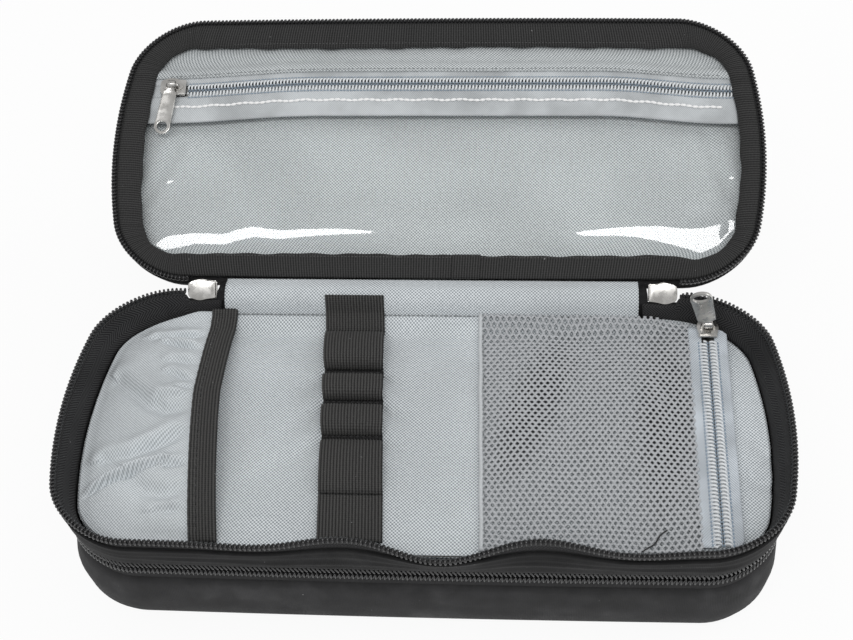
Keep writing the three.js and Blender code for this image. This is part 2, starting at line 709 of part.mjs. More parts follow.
// Walls of the tray.
function trayWalls() {
  const group = new THREE.Group();
  const bandSection = [
    [BAND_FOOT_INSET, BAND_FOOT],
    [BAND_TOP_INSET, BAND_TOP],
    [BAND_TOP_INSET + BAND_TOP_THICKNESS, BAND_TOP],
    [BAND_INNER_FOOT, BAND_FOOT],
  ];
  const fine = outlineStops({ front: FINE_FRONT_STEPS });
  group.add(piece('tray_band', sweep(bandSection, fine, { waved: true }), 'shell'));
  const sideStops = outlineStops({ backLeft: [SIDE_ZIP_END], backRight: [SIDE_SLIDER_X + SLIDER_LENGTH] });
  const coilBottom = SIDE_ZIP_HEIGHT + SEAM_GAP;
  const sideZipTape = sideTape(sideStops, coilBottom + RUN_GAP, BAND_FOOT + SEAM_GAP);
  group.add(piece('lower_zip_tape_upper', sideZipTape, 'black'));
  const sideZipCoil = sideCoil(sideStops, coilBottom, coilBottom + SIDE_COIL_HEIGHT);
  group.add(piece('lower_zip_coil_upper', sideZipCoil, 'coil'));
  const back = [MAIN_ZIP_END, MAIN_ZIP_NOTCH - RUN_GAP, MAIN_ZIP_NOTCH];
  const tapeStops = outlineStops({ front: FINE_FRONT_STEPS, backLeft: back, backRight: back });
  const footInset = wallInset(PAD_BOTTOM);
  const tapeSection = (stop) => {
    const notched = stop.ny > 0 && Math.abs(stop.x) < MAIN_ZIP_NOTCH;
    const top = notched ? TAPE_TOP - NOTCH_DEPTH : TAPE_TOP;
    const topInset = wallInset(top);
    return [
      [footInset, PAD_BOTTOM],
      [topInset, top],
      [topInset + TAPE_THICKNESS, top],
      [footInset + TAPE_THICKNESS, PAD_BOTTOM],
    ];
  };
  const tape = sweep(tapeSection, tapeStops, { ring: false, waved: true });
  group.add(piece('main_zip_tape_base', tape, 'black'));
  const coilStops = outlineStops({
    front: FINE_FRONT_STEPS, backLeft: [MAIN_ZIP_NOTCH], backRight: [MAIN_ZIP_NOTCH],
  });
  const coil = sweep(coilSection(COIL_FOOT), coilStops, { ring: false, waved: true });
  group.add(piece('main_zip_coil_base', coil, 'coil'));
  return group;
}

function coilSection(bottom) {
  return [[0, bottom], [0, bottom + COIL_HEIGHT], [COIL_WIDTH, bottom + COIL_HEIGHT], [COIL_WIDTH, bottom]];
}

// Floor of the tray, from below.
function trayFloor() {
  const group = new THREE.Group();
  const polygon = outlinePolygon(BOARD_MARGIN);
  const under = plate(polygon, TRAY_BOTTOM, TRAY_BOTTOM + LINING_THICKNESS);
  group.add(piece('tray_underside_lining', under, 'lining'));
  const board = plate(polygon, TRAY_BOARD_BOTTOM, TRAY_BOARD_BOTTOM + BOARD_THICKNESS);
  group.add(piece('tray_board', board, 'board'));
  group.add(piece('tray_floor_pad', floorPad(), 'lining'));
  return group;
}

// Gathered pocket at the left end, and the elastic along its mouth.
const mouthX = (y) => POCKET_MOUTH_X + POCKET_MOUTH_SLOPE * y;
const mouthLift = (v) => POCKET_RISE * Math.sin(Math.PI * v) ** ARCH_POWER;

function leftEdge(y) {
  const edge = outlinePolygon(POCKET_INSET);
  let x = 0;
  edge.forEach((a, i) => {
    const b = edge[(i + 1) % edge.length];
    if ((a.y - y) * (b.y - y) <= 0 && a.y !== b.y && Math.min(a.x, b.x) < 0) {
      x = Math.min(x, a.x + ((b.x - a.x) * (y - a.y)) / (b.y - a.y));
    }
  });
  return x;
}

function elasticPocket() {
  const group = new THREE.Group();
  const yAt = (v) => POCKET_HALF_LENGTH * (1 - 2 * v);
  const panelAt = (rise) => (u, v) => {
    const y = yAt(v);
    const left = leftEdge(y);
    const right = mouthX(y) - SEAM_GAP;
    const x = left + (right - left) * u;
    const gather = GATHER_RISE * u * Math.sin(2 * Math.PI * GATHERS * v) * Math.sin(Math.PI * v);
    const lift = mouthLift(v) * u ** POCKET_POWER + gather;
    return new THREE.Vector3(x, y, floorTop(x, y) + SEAM_GAP + Math.max(0, lift) + rise);
  };
  const rows = GATHER_STEPS * GATHERS;
  const panel = sheet(POCKET_STEPS, rows, panelAt(POCKET_FABRIC), panelAt(0));
  group.add(piece('elastic_pocket_panel', panel, 'lining'));
  const bindingAt = (rise) => (u, v) => {
    const y = yAt(v);
    const x = mouthX(y) + ELASTIC_WIDTH * u;
    return new THREE.Vector3(x, y, floorTop(x, y) + SEAM_GAP + mouthLift(v) + rise);
  };
  const binding = sheet(1, rows, bindingAt(ELASTIC_THICKNESS), bindingAt(0));
  group.add(piece('elastic_pocket_binding', binding, 'elastic'));
  return group;
}

// Elastic sewn down in loops, with a tab up the hinge lining and a flat tail.
function loopBand() {
  const centreX = (y) => LOOP_BAND_X + LOOP_BAND_SLOPE * y;
  const sewn = (y) => [y, floorTop(centreX(y), y) + SEAM_GAP];
  const wall = hingeLiningFace().slice(1, 3).reverse();
  const profile = wall.map(([y, z]) => [y - SEAM_GAP, z]);
  profile.push([BACK - PAD_INSET, FLOOR_EDGE + SEAM_GAP + LOOP_BAND_THICKNESS]);
  const seams = LOOP_SEAMS.map((distance) => BACK - distance);
  LOOP_CLEAR.forEach((clear, i) => {
    const from = seams[i];
    const to = seams[i + 1];
    for (let k = 0; k < LOOP_STEPS; k++) {
      const [y, z] = sewn(from + ((to - from) * k) / LOOP_STEPS);
      profile.push([y, z + clear * Math.sin((Math.PI * k) / LOOP_STEPS) ** ARCH_POWER]);
    }
  });
  const tail = seams[seams.length - 1];
  for (let k = 0; k <= TAIL_STEPS; k++) {
    profile.push(sewn(tail + ((LOOP_TAIL_END - tail) * k) / TAIL_STEPS));
  }
  const xAt = (v, y) => centreX(y) + LOOP_BAND_WIDTH * (v - 0.5);
  return piece('elastic_loop_band', clothStrip(profile, LOOP_BAND_THICKNESS, xAt), 'elastic');
}

// Net pocket: a crowned net with square gaps, and its zip.
const meshZipX = (y) => MESH_ZIP_X + MESH_ZIP_SLOPE * y;

function netHeight(x, y, u, v) {
  const floor = floorTop(x, y) + SEAM_GAP;
  const bulge = MESH_BULGE * Math.sin(Math.PI * u) * Math.sin(Math.PI * v);
  const atZip = MESH_ZIP_HEIGHT - MESH_THICKNESS / 2 - floor;
  return floor + bulge + atZip * u ** MESH_RISE_POWER;
}

function netPanel() {
  const right = (y) => meshZipX(y) - MESH_TAPE_REACH - SEAM_GAP;
  const pitchLines = (count, length) => {
    const gap = (length - MESH_BAR * (count + 1)) / count;
    const lines = [0];
    for (let i = 0; i < count; i++) {
      lines.push(lines[lines.length - 1] + MESH_BAR);
      lines.push(lines[lines.length - 1] + gap);
    }
    lines.push(length);
    return lines.map((line) => line / length);
  };
  const columns = pitchLines(MESH_COLUMNS, right(0) - MESH_LEFT);
  const rows = pitchLines(MESH_ROWS, 2 * MESH_HALF_LENGTH);
  const points = [];
  for (const rise of [0, MESH_THICKNESS]) {
    for (const u of columns) {
      for (const v of rows) {
        const y = MESH_HALF_LENGTH * (1 - 2 * v);
        const x = MESH_LEFT + (right(y) - MESH_LEFT) * u;
        points.push(new THREE.Vector3(x, y, netHeight(x, y, u, v) + rise));
      }
    }
  }
  const layer = columns.length * rows.length;
  const index = (i, j, top) => (top ? layer : 0) + i * rows.length + j;
  const filled = (i, j) => {
    const inside = i >= 0 && j >= 0 && i < columns.length - 1 && j < rows.length - 1;
    return inside && !(i % 2 === 1 && j % 2 === 1);
  };
  const triangles = [];
  const quad = (a, b, c, d) => triangles.push([a, b, c], [a, c, d]);
  const wall = (a, b) => quad(index(...b, true), index(...b, false), index(...a, false), index(...a, true));
  for (let i = 0; i < columns.length - 1; i++) {
    for (let j = 0; j < rows.length - 1; j++) {
      if (!filled(i, j)) {
        continue;
      }
      quad(index(i, j, true), index(i, j + 1, true), index(i + 1, j + 1, true), index(i + 1, j, true));
      quad(index(i, j, false), index(i + 1, j, false), index(i + 1, j + 1, false), index(i, j + 1, false));
      if (!filled(i - 1, j)) {
        wall([i, j + 1], [i, j]);
      }
      if (!filled(i + 1, j)) {
        wall([i + 1, j], [i + 1, j + 1]);
      }
      if (!filled(i, j - 1)) {
        wall([i, j], [i + 1, j]);
      }
      if (!filled(i, j + 1)) {
        wall([i + 1, j + 1], [i, j + 1]);
      }
    }
  }
  return piece('mesh_panel', closedGeometry(points, triangles), 'net');
}

// The back edge of a polygon at a place along X.
function backEdge(polygon, x) {
  let y = 0;
  polygon.forEach((a, i) => {
    const b = polygon[(i + 1) % polygon.length];
    if ((a.x - x) * (b.x - x) <= 0 && a.x !== b.x) {
      y = Math.max(y, a.y + ((b.y - a.y) * (x - a.x)) / (b.x - a.x));
    }
  });
  return y;
}

// How far back the net pocket's slider stands, with its round nose clear of the tray's wall.
function meshSliderY() {
  const level = MESH_ZIP_HEIGHT - SLIDER_MOUTH / 2 - SLIDER_PLATE;
  const wall = outlinePolygon(wallInset(level) + TAPE_THICKNESS + SEAM_GAP);
  const noseLength = MESH_SLIDER_LENGTH / 2 - SHIELD_SHOULDER;
  const places = [];
  for (let i = 0; i <= NOSE_STEPS; i++) {
    const angle = (Math.PI / 2) * (i / NOSE_STEPS);
    const x = meshZipX(MESH_ZIP_HALF_LENGTH) + (SLIDER_WIDTH / 2) * Math.sin(angle);
    places.push(backEdge(wall, x) - SHIELD_SHOULDER - noseLength * Math.cos(angle));
  }
  return Math.min(...places);
}

function meshZip() {
  const group = new THREE.Group();
  const strip = (from, to) => {
    const y = MESH_ZIP_HALF_LENGTH;
    const corners = [[from, -y], [to, -y], [to, y], [from, y]].map(([d, at]) => [meshZipX(at) + d, at]);
    return patchWithin(POCKET_INSET, corners);
  };
  const coilStart = CHAIN_GAP / 2;
  const coilEnd = coilStart + POCKET_COIL_WIDTH;
  const tapeStart = coilEnd + RUN_GAP;
  const layer = (polygon, thickness) => {
    const bottom = MESH_ZIP_HEIGHT - thickness / 2;
    return plate(polygon, bottom, bottom + thickness);
  };
  const leftTape = layer(strip(-MESH_TAPE_REACH, -tapeStart), POCKET_TAPE_THICKNESS);
  const rightTape = layer(strip(tapeStart, MESH_TAPE_REACH), POCKET_TAPE_THICKNESS);
  const leftCoil = layer(strip(-coilEnd, -coilStart), POCKET_COIL_HEIGHT);
  const rightCoil = layer(strip(coilStart, coilEnd), POCKET_COIL_HEIGHT);
  group.add(piece('mesh_zip_tape_left', leftTape, 'zip'));
  group.add(piece('mesh_zip_tape_right', rightTape, 'zip'));
  group.add(piece('mesh_zip_coil_left', leftCoil, 'paleCoil'));
  group.add(piece('mesh_zip_coil_right', rightCoil, 'paleCoil'));
  const way = new THREE.Vector3(MESH_ZIP_SLOPE, 1, 0).normalize();
  const sliderY = meshSliderY();
  const centre = new THREE.Vector3(meshZipX(sliderY), sliderY, MESH_ZIP_HEIGHT);
  const slider = piece('mesh_zip_slider', sliderGeometry(MESH_SLIDER_LENGTH, true), 'nickel');
  group.add(place(slider, centre, way, new THREE.Vector3(0, 0, 1)));
  const forward = THREE.MathUtils.degToRad(MESH_PULL_FORWARD_DEG);
  const lean = THREE.MathUtils.degToRad(MESH_PULL_LEAN_DEG);
  const pivot = centre.clone().add(new THREE.Vector3(0, 0, BAIL_HEIGHT));
  const up = new THREE.Vector3(0, -Math.sin(forward), Math.cos(forward));
  group.add(hangPull('mesh_zip_pull', pivot, up, PULL_LENGTH, lean));
  return group;
}

// Sliders of the main zip, parked at its ends by the hinge, with their pulls hanging outside.
function mainSliders() {
  const group = new THREE.Group();
  const tilt = THREE.MathUtils.degToRad(MAIN_SLIDER_TILT_DEG);
  const outward = new THREE.Vector3(0, Math.cos(tilt), -Math.sin(tilt));
  const depth = SLIDER_MOUTH / 2 + SLIDER_PLATE;
  for (const [side, sign] of [['left', -1], ['right', 1]]) {
    const inner = new THREE.Vector3(sign * MAIN_SLIDER_X, BACK - SEAM_GAP, RIM_HEIGHT - MAIN_SLIDER_DROP);
    const centre = inner.clone().addScaledVector(outward, depth);
    const slider = piece(`main_zip_slider_${side}`, sliderGeometry(SLIDER_LENGTH, false), 'nickel');
    group.add(place(slider, centre, new THREE.Vector3(sign, 0, 0), outward));
    const pivot = centre.clone().addScaledVector(outward, BAIL_HEIGHT);
    group.add(hangPull(`main_zip_pull_${side}`, pivot, new THREE.Vector3(0, 0, -1), MAIN_PULL_LENGTH));
  }
  return group;
}

// Where a point of the closed lid, given by its inset and height over the rim, lies when the lid is open.
function openLidPoint(inset, height) {
  const y = BACK - inset - HINGE_Y;
  const z = RIM_HEIGHT + height - HINGE_Z;
  const cos = Math.cos(-LID_ANGLE);
  const sin = Math.sin(-LID_ANGLE);
  return [HINGE_Y + y * cos - z * sin, HINGE_Z + y * sin + z * cos];
}

function hingeLiningFace() {
  const end = openLidPoint(BINDING_OUTER_INSET - 2 * SEAM_GAP, BINDING_LIFT + SEAM_GAP);
  const folds = HINGE_LINING_FOLDS.map(([inset, drop]) => [BACK - inset, RIM_HEIGHT - drop]);
  return [[BACK - PAD_INSET + 2 * SEAM_GAP, FLOOR_EDGE - SEAM_GAP], ...folds, end];
}

function lidHinge() {
  const group = new THREE.Group();
  const lining = clothStrip(hingeLiningFace(), HINGE_CLOTH, (v) => HINGE_LINING_HALF * (2 * v - 1));
  group.add(piece('hinge_lining', lining, 'lining'));
  const end = openLidPoint(LID_INSET + LID_WALL / 2, LID_RIM - 2 * SEAM_GAP);
  const level = BAND_TOP + SEAM_GAP + HINGE_CLOTH;
  const face = [
    [BACK - BAND_TOP_INSET - BAND_TOP_THICKNESS / 2, level],
    [BACK + HINGE_STRIP_REACH, level],
    [BACK + HINGE_STRIP_SAG, BAND_TOP - SEAM_GAP],
    end,
  ];
  const strip = clothStrip(face, HINGE_CLOTH, (v) => HINGE_STRIP_HALF * (2 * v - 1));
  group.add(piece('lid_hinge_strip', strip, 'black'));
  return group;
}

// The lid, built as it lies when closed.
function closedLid() {
  const group = new THREE.Group();
  const top = RIM_HEIGHT + LID_DEPTH;
  const shell = tub({
    inset: LID_INSET, floor: top, rim: RIM_HEIGHT + LID_RIM, wall: LID_WALL, base: LID_WALL, fillet: LID_FILLET,
  });
  group.add(piece('lid_shell', shell, 'shell'));
  const boardTop = top - LID_WALL - SEAM_GAP;
  const board = plate(outlinePolygon(LID_INSET + LID_FILLET + SEAM_GAP), boardTop - BOARD_THICKNESS, boardTop);
  group.add(piece('lid_board', board, 'board'));
  const liningFace = RIM_HEIGHT + LID_LINING_DEPTH;
  const liningEdge = outlinePolygon(LID_INSET + LID_WALL + LID_LINING_MARGIN);
  const lining = plate(liningEdge, liningFace, liningFace + LINING_THICKNESS);
  group.add(piece('lid_lining', lining, 'lining'));
  const mid = BINDING_OUTER_INSET + BINDING_WIDTH / 2;
  const innerEdge = BINDING_OUTER_INSET + BINDING_WIDTH;
  const low = RIM_HEIGHT + BINDING_LIFT;
  const bindingSection = [
    [BINDING_OUTER_INSET, low],
    [BINDING_OUTER_INSET, low + BINDING_THICKNESS],
    [mid, low + BINDING_SLOPE / 2 + BINDING_THICKNESS],
    [innerEdge, low + BINDING_SLOPE + BINDING_THICKNESS],
    [innerEdge, low + BINDING_SLOPE],
    [mid, low + BINDING_SLOPE / 2 - BINDING_CROWN],
  ];
  group.add(piece('lid_binding', sweep(bindingSection, outlineStops()), 'black'));
  const lidCoilFoot = RIM_HEIGHT + CLOSING_GAP;
  const zipStops = outlineStops({ backLeft: [MAIN_ZIP_NOTCH], backRight: [MAIN_ZIP_NOTCH] });
  const narrow = BINDING_OUTER_INSET - SEAM_GAP;
  const lidCoilTop = lidCoilFoot + COIL_HEIGHT;
  const coil = [[0, lidCoilFoot], [0, lidCoilTop], [narrow, lidCoilTop], [narrow, lidCoilFoot]];
  group.add(piece('main_zip_coil_lid', sweep(coil, zipStops, { ring: false }), 'coil'));
  const tapeFoot = lidCoilTop + SEAM_GAP;
  const tapeTop = RIM_HEIGHT + LID_RIM - SEAM_GAP;
  const tapeOut = narrow - TAPE_THICKNESS;
  const tape = [[tapeOut, tapeFoot], [tapeOut, tapeTop], [narrow, tapeTop], [narrow, tapeFoot]];
  group.add(piece('main_zip_tape_lid', sweep(tape, zipStops, { ring: false }), 'black'));
  group.add(windowPocket());
  return group;
}

// Clear film of the pocket: it lies back along the lower edge and comes forward over a bend.
function windowFilm(face) {
  const line = [[0, WINDOW_SAG], [WINDOW_SAG_FOOT, WINDOW_SAG], [WINDOW_SAG_HEAD, 0], [WINDOW_TOP, 0]];
  const profile = line.map(([up, back]) => [BACK - up, face + back]);
  const film = clothStrip(profile, WINDOW_THICKNESS, (v) => CASE_WIDTH * (v - 0.5));
  const reach = plate(outlinePolygon(WINDOW_INSET), face - WINDOW_SAG, face + 2 * WINDOW_SAG);
  return geometryOf(solid(film).intersect(solid(reach)));
}

// Clear pocket of the lid, with its zip.
function windowPocket() {
  const group = new THREE.Group();
  const strip = (inset, from, to) => {
    const x = CASE_WIDTH / 2;
    return patchWithin(inset, [[-x, BACK - to], [x, BACK - to], [x, BACK - from], [-x, BACK - from]]);
  };
  const face = RIM_HEIGHT + WINDOW_DEPTH;
  group.add(piece('pvc_window', windowFilm(face), 'clear'));
  const topStrip = plate(strip(WINDOW_INSET, TOP_STRIP_FOOT, CASE_DEPTH), face, face + WINDOW_THICKNESS);
  group.add(piece('pocket_top_strip', topStrip, 'lining'));
  const chain = face - RUN_GAP - POCKET_TAPE_THICKNESS / 2;
  const layer = (inset, from, to, thickness) =>
    plate(strip(inset, from, to), chain - thickness / 2, chain + thickness / 2);
  const tape = (from, to) => layer(WINDOW_ZIP_INSET, from, to, POCKET_TAPE_THICKNESS);
  const coilInset = BINDING_OUTER_INSET + BINDING_WIDTH + SEAM_GAP;
  const coil = (from, to) => layer(coilInset, from, to, POCKET_COIL_HEIGHT);
  const coilStart = CHAIN_GAP / 2;
  const coilEnd = coilStart + POCKET_COIL_WIDTH;
  const tapeStart = coilEnd + RUN_GAP;
  const upper = tape(WINDOW_ZIP_UP + tapeStart, WINDOW_TAPE_HEAD);
  const lower = tape(WINDOW_TAPE_FOOT, WINDOW_ZIP_UP - tapeStart);
  const upperCoil = coil(WINDOW_ZIP_UP + coilStart, WINDOW_ZIP_UP + coilEnd);
  const lowerCoil = coil(WINDOW_ZIP_UP - coilEnd, WINDOW_ZIP_UP - coilStart);
  group.add(piece('pvc_zip_tape_upper', upper, 'zip'));
  group.add(piece('pvc_zip_tape_lower', lower, 'zip'));
  group.add(piece('pvc_zip_coil_upper', upperCoil, 'paleCoil'));
  group.add(piece('pvc_zip_coil_lower', lowerCoil, 'paleCoil'));
  const track = strip(coilInset, WINDOW_ZIP_UP - SLIDER_WIDTH / 2, WINDOW_ZIP_UP + SLIDER_WIDTH / 2);
  const trackEnd = Math.max(...track.map((p) => p.x).filter((x) => x < 0));
  const centre = new THREE.Vector3(trackEnd + SLIDER_LENGTH / 2, BACK - WINDOW_ZIP_UP, chain);
  const inward = new THREE.Vector3(0, 0, -1);
  const slider = piece('pvc_zip_slider', sliderGeometry(SLIDER_LENGTH, false), 'nickel');
  group.add(place(slider, centre, new THREE.Vector3(-1, 0, 0), inward));
  const pivot = centre.clone().addScaledVector(inward, BAIL_HEIGHT);
  const dip = THREE.MathUtils.degToRad(WINDOW_PULL_DIP_DEG);
  const way = new THREE.Vector3(0, Math.cos(dip), Math.sin(dip));
  const lean = THREE.MathUtils.degToRad(WINDOW_PULL_LEAN_DEG);
  group.add(hangPull('pvc_zip_pull', pivot, way, PULL_LENGTH, lean));
  return group;
}

function openLid() {
  const hinge = new THREE.Group();
  hinge.position.set(0, HINGE_Y, HINGE_Z);
  hinge.rotation.x = -LID_ANGLE;
  const lid = closedLid();
  lid.position.set(0, -HINGE_Y, -HINGE_Z);
  hinge.add(lid);
  return hinge;
}

function tray() {
  const group = new THREE.Group();
  group.add(trayWalls());
  group.add(trayFloor());
  group.add(elasticPocket());
  group.add(loopBand());
  group.add(netPanel());
  group.add(meshZip());
  group.add(mainSliders());
  return group;
}

const meterCase = new THREE.Group();
meterCase.name = 'meter_case';
meterCase.add(lowerCase());
meterCase.add(sideHinge());
meterCase.add(tray());
meterCase.add(lidHinge());
meterCase.add(openLid());

export default meterCase;
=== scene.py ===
import math

import bmesh
import bpy
import numpy as np
from mathutils import Matrix, Vector


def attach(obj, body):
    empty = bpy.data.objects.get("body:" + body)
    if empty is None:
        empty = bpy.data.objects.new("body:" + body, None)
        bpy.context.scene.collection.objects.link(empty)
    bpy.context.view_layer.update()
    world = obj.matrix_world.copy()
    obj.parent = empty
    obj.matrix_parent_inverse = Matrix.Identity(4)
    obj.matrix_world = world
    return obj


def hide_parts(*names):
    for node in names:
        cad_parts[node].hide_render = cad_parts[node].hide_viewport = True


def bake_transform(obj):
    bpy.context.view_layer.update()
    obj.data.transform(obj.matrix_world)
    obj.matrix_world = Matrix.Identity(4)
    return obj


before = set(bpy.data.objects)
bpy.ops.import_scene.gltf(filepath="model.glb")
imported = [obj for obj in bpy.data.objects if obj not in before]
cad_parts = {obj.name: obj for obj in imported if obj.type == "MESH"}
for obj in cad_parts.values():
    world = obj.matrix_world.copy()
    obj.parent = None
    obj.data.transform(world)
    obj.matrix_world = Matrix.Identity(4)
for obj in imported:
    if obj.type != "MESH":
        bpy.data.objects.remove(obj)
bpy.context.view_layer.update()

# Sizes in millimetres, as in the solids. Meshes are made in millimetres and shrunk to metres at the end.
MM = 0.001
CORNER_RADIUS = 20.0
END_BOW, SIDE_BOW = 8.5, 0.8
CORE_X, CORE_Y = 101.5, 48.2
STRAIGHT_X, STRAIGHT_Y = CORE_X - CORNER_RADIUS, CORE_Y - CORNER_RADIUS
BACK = 49.0
RIM = 52.0
FLOOR_EDGE, FLOOR_CROWN = 40.2, 2.2
PAD_BOTTOM, PAD_INSET = 39.4, 5.6
TRAY_BOTTOM = 37.2
SIDE_ZIP = 33.8
SHELL_TOP = 26.8
BAND_FOOT, BAND_TOP = 37.5, 46.8
TAPE_TOP, COIL_FOOT = 49.4, 49.7
WAVE_FOOT = 36.7
HINGE_Y, HINGE_Z = 50.8, 50.4
LID_TURN = math.radians(-157.3)
ZIP_NOTCH, ZIP_END = 80.0, 67.5
WINDOW_FACE = RIM + 4.4
CHAIN_LEVEL = WINDOW_FACE - 0.55
ZIP_UP = 72.0
MESH_LEFT, MESH_ZIP_LEVEL, NET_WIDE = 17.0, 43.2, 64.6
SIDE_PULL_X = 56.5
BAIL_UP = 3.75

# Camera, in pixels, degrees and metres.
FOCAL_LENGTH, PICTURE_WIDTH = 1399, 853
YAW, PITCH, ROLL = -5.78, 48.82, -3.8
CAMERA_PLACE = (0.0289, -0.2533, 0.3832)

TAU = 2 * math.pi
DOWN = (0, 0, -1)


def smooth(x, low, high):
    """Eases from 0 at low to 1 at high."""
    t = np.clip((np.asarray(x, float) - low) / (high - low), 0, 1)
    return t * t * (3 - 2 * t)


def ripple(x, y, length, seed):
    """A soft uneven field of about -1 to 1, with features of about this length."""
    made = np.zeros(np.broadcast(x, y).shape)
    rng = np.random.default_rng(seed)
    for _ in range(7):
        way, phase, stretch = rng.uniform(0, TAU), rng.uniform(0, TAU), rng.uniform(0.7, 1.6)
        made = made + np.sin((x * math.cos(way) + y * math.sin(way)) * TAU / (length * stretch) + phase)
    return made / 4


# Camera, light and ground.
def add_camera():
    yaw, pitch, roll = (math.radians(a) for a in (YAW, PITCH, ROLL))
    ahead = Vector((math.sin(yaw) * math.cos(pitch), math.cos(yaw) * math.cos(pitch), -math.sin(pitch)))
    level = Vector((math.cos(yaw), -math.sin(yaw), 0))
    up = level.cross(ahead)
    right = level * math.cos(roll) + up * math.sin(roll)
    top = up * math.cos(roll) - level * math.sin(roll)
    data = bpy.data.cameras.new("camera")
    data.sensor_width = 36
    data.lens = data.sensor_width * FOCAL_LENGTH / PICTURE_WIDTH
    camera = bpy.data.objects.new("camera", data)
    bpy.context.scene.collection.objects.link(camera)
    turn = Matrix((right, top, -ahead)).transposed().to_4x4()
    camera.matrix_world = Matrix.Translation(Vector(CAMERA_PLACE)) @ turn
    bpy.context.scene.camera = camera


def add_lamp(name, place, aim, width, height, radiance):
    data = bpy.data.lights.new(name, "AREA")
    data.shape, data.size, data.size_y = "RECTANGLE", width, height
    data.energy = radiance * width * height * math.pi
    lamp = bpy.data.objects.new(name, data)
    lamp.location = place
    lamp.rotation_euler = (Vector(aim) - Vector(place)).to_track_quat("-Z", "Y").to_euler()
    bpy.context.scene.collection.objects.link(lamp)


def add_stage():
    scene = bpy.context.scene
    scene.view_settings.view_transform = "Standard"
    world = bpy.data.worlds.new("world")
    scene.world = world
    world.use_nodes = True
    world.node_tree.nodes["Background"].inputs[0].default_value = (1, 1, 1, 1)
    world.node_tree.nodes["Background"].inputs[1].default_value = 0.58
    add_lamp("strip", (0, -1.05, 1.78), (0, 0.06, 0.05), 1.7, 0.24, 10.5)
    add_lamp("side", (1.5, 0.3, 1.0), (0, 0.05, 0.05), 0.8, 0.8, 2.0)
    bpy.ops.mesh.primitive_plane_add(size=6, location=(0, 0, -0.0004))
    floor = bpy.context.object
    floor.name = "floor"
    look = Look("floor_white")
    look.set("Base Color", (0.98, 0.98, 0.98, 1)).set("Roughness", 0.9)
    glow = look.node("ShaderNodeEmission")
    glow.inputs[1].default_value = 1
    path = look.node("ShaderNodeLightPath")
    seen = look.math("MAXIMUM", path.outputs["Is Camera Ray"], path.outputs["Is Glossy Ray"])
    seen = look.math("MAXIMUM", seen, path.outputs["Is Transmission Ray"])
    bright = look.blend(look.math("MULTIPLY", seen, 0.91), look.shader.outputs[0], glow.outputs[0])
    look.link(bright, look.out.inputs[0])
    floor.data.materials.append(look.material)


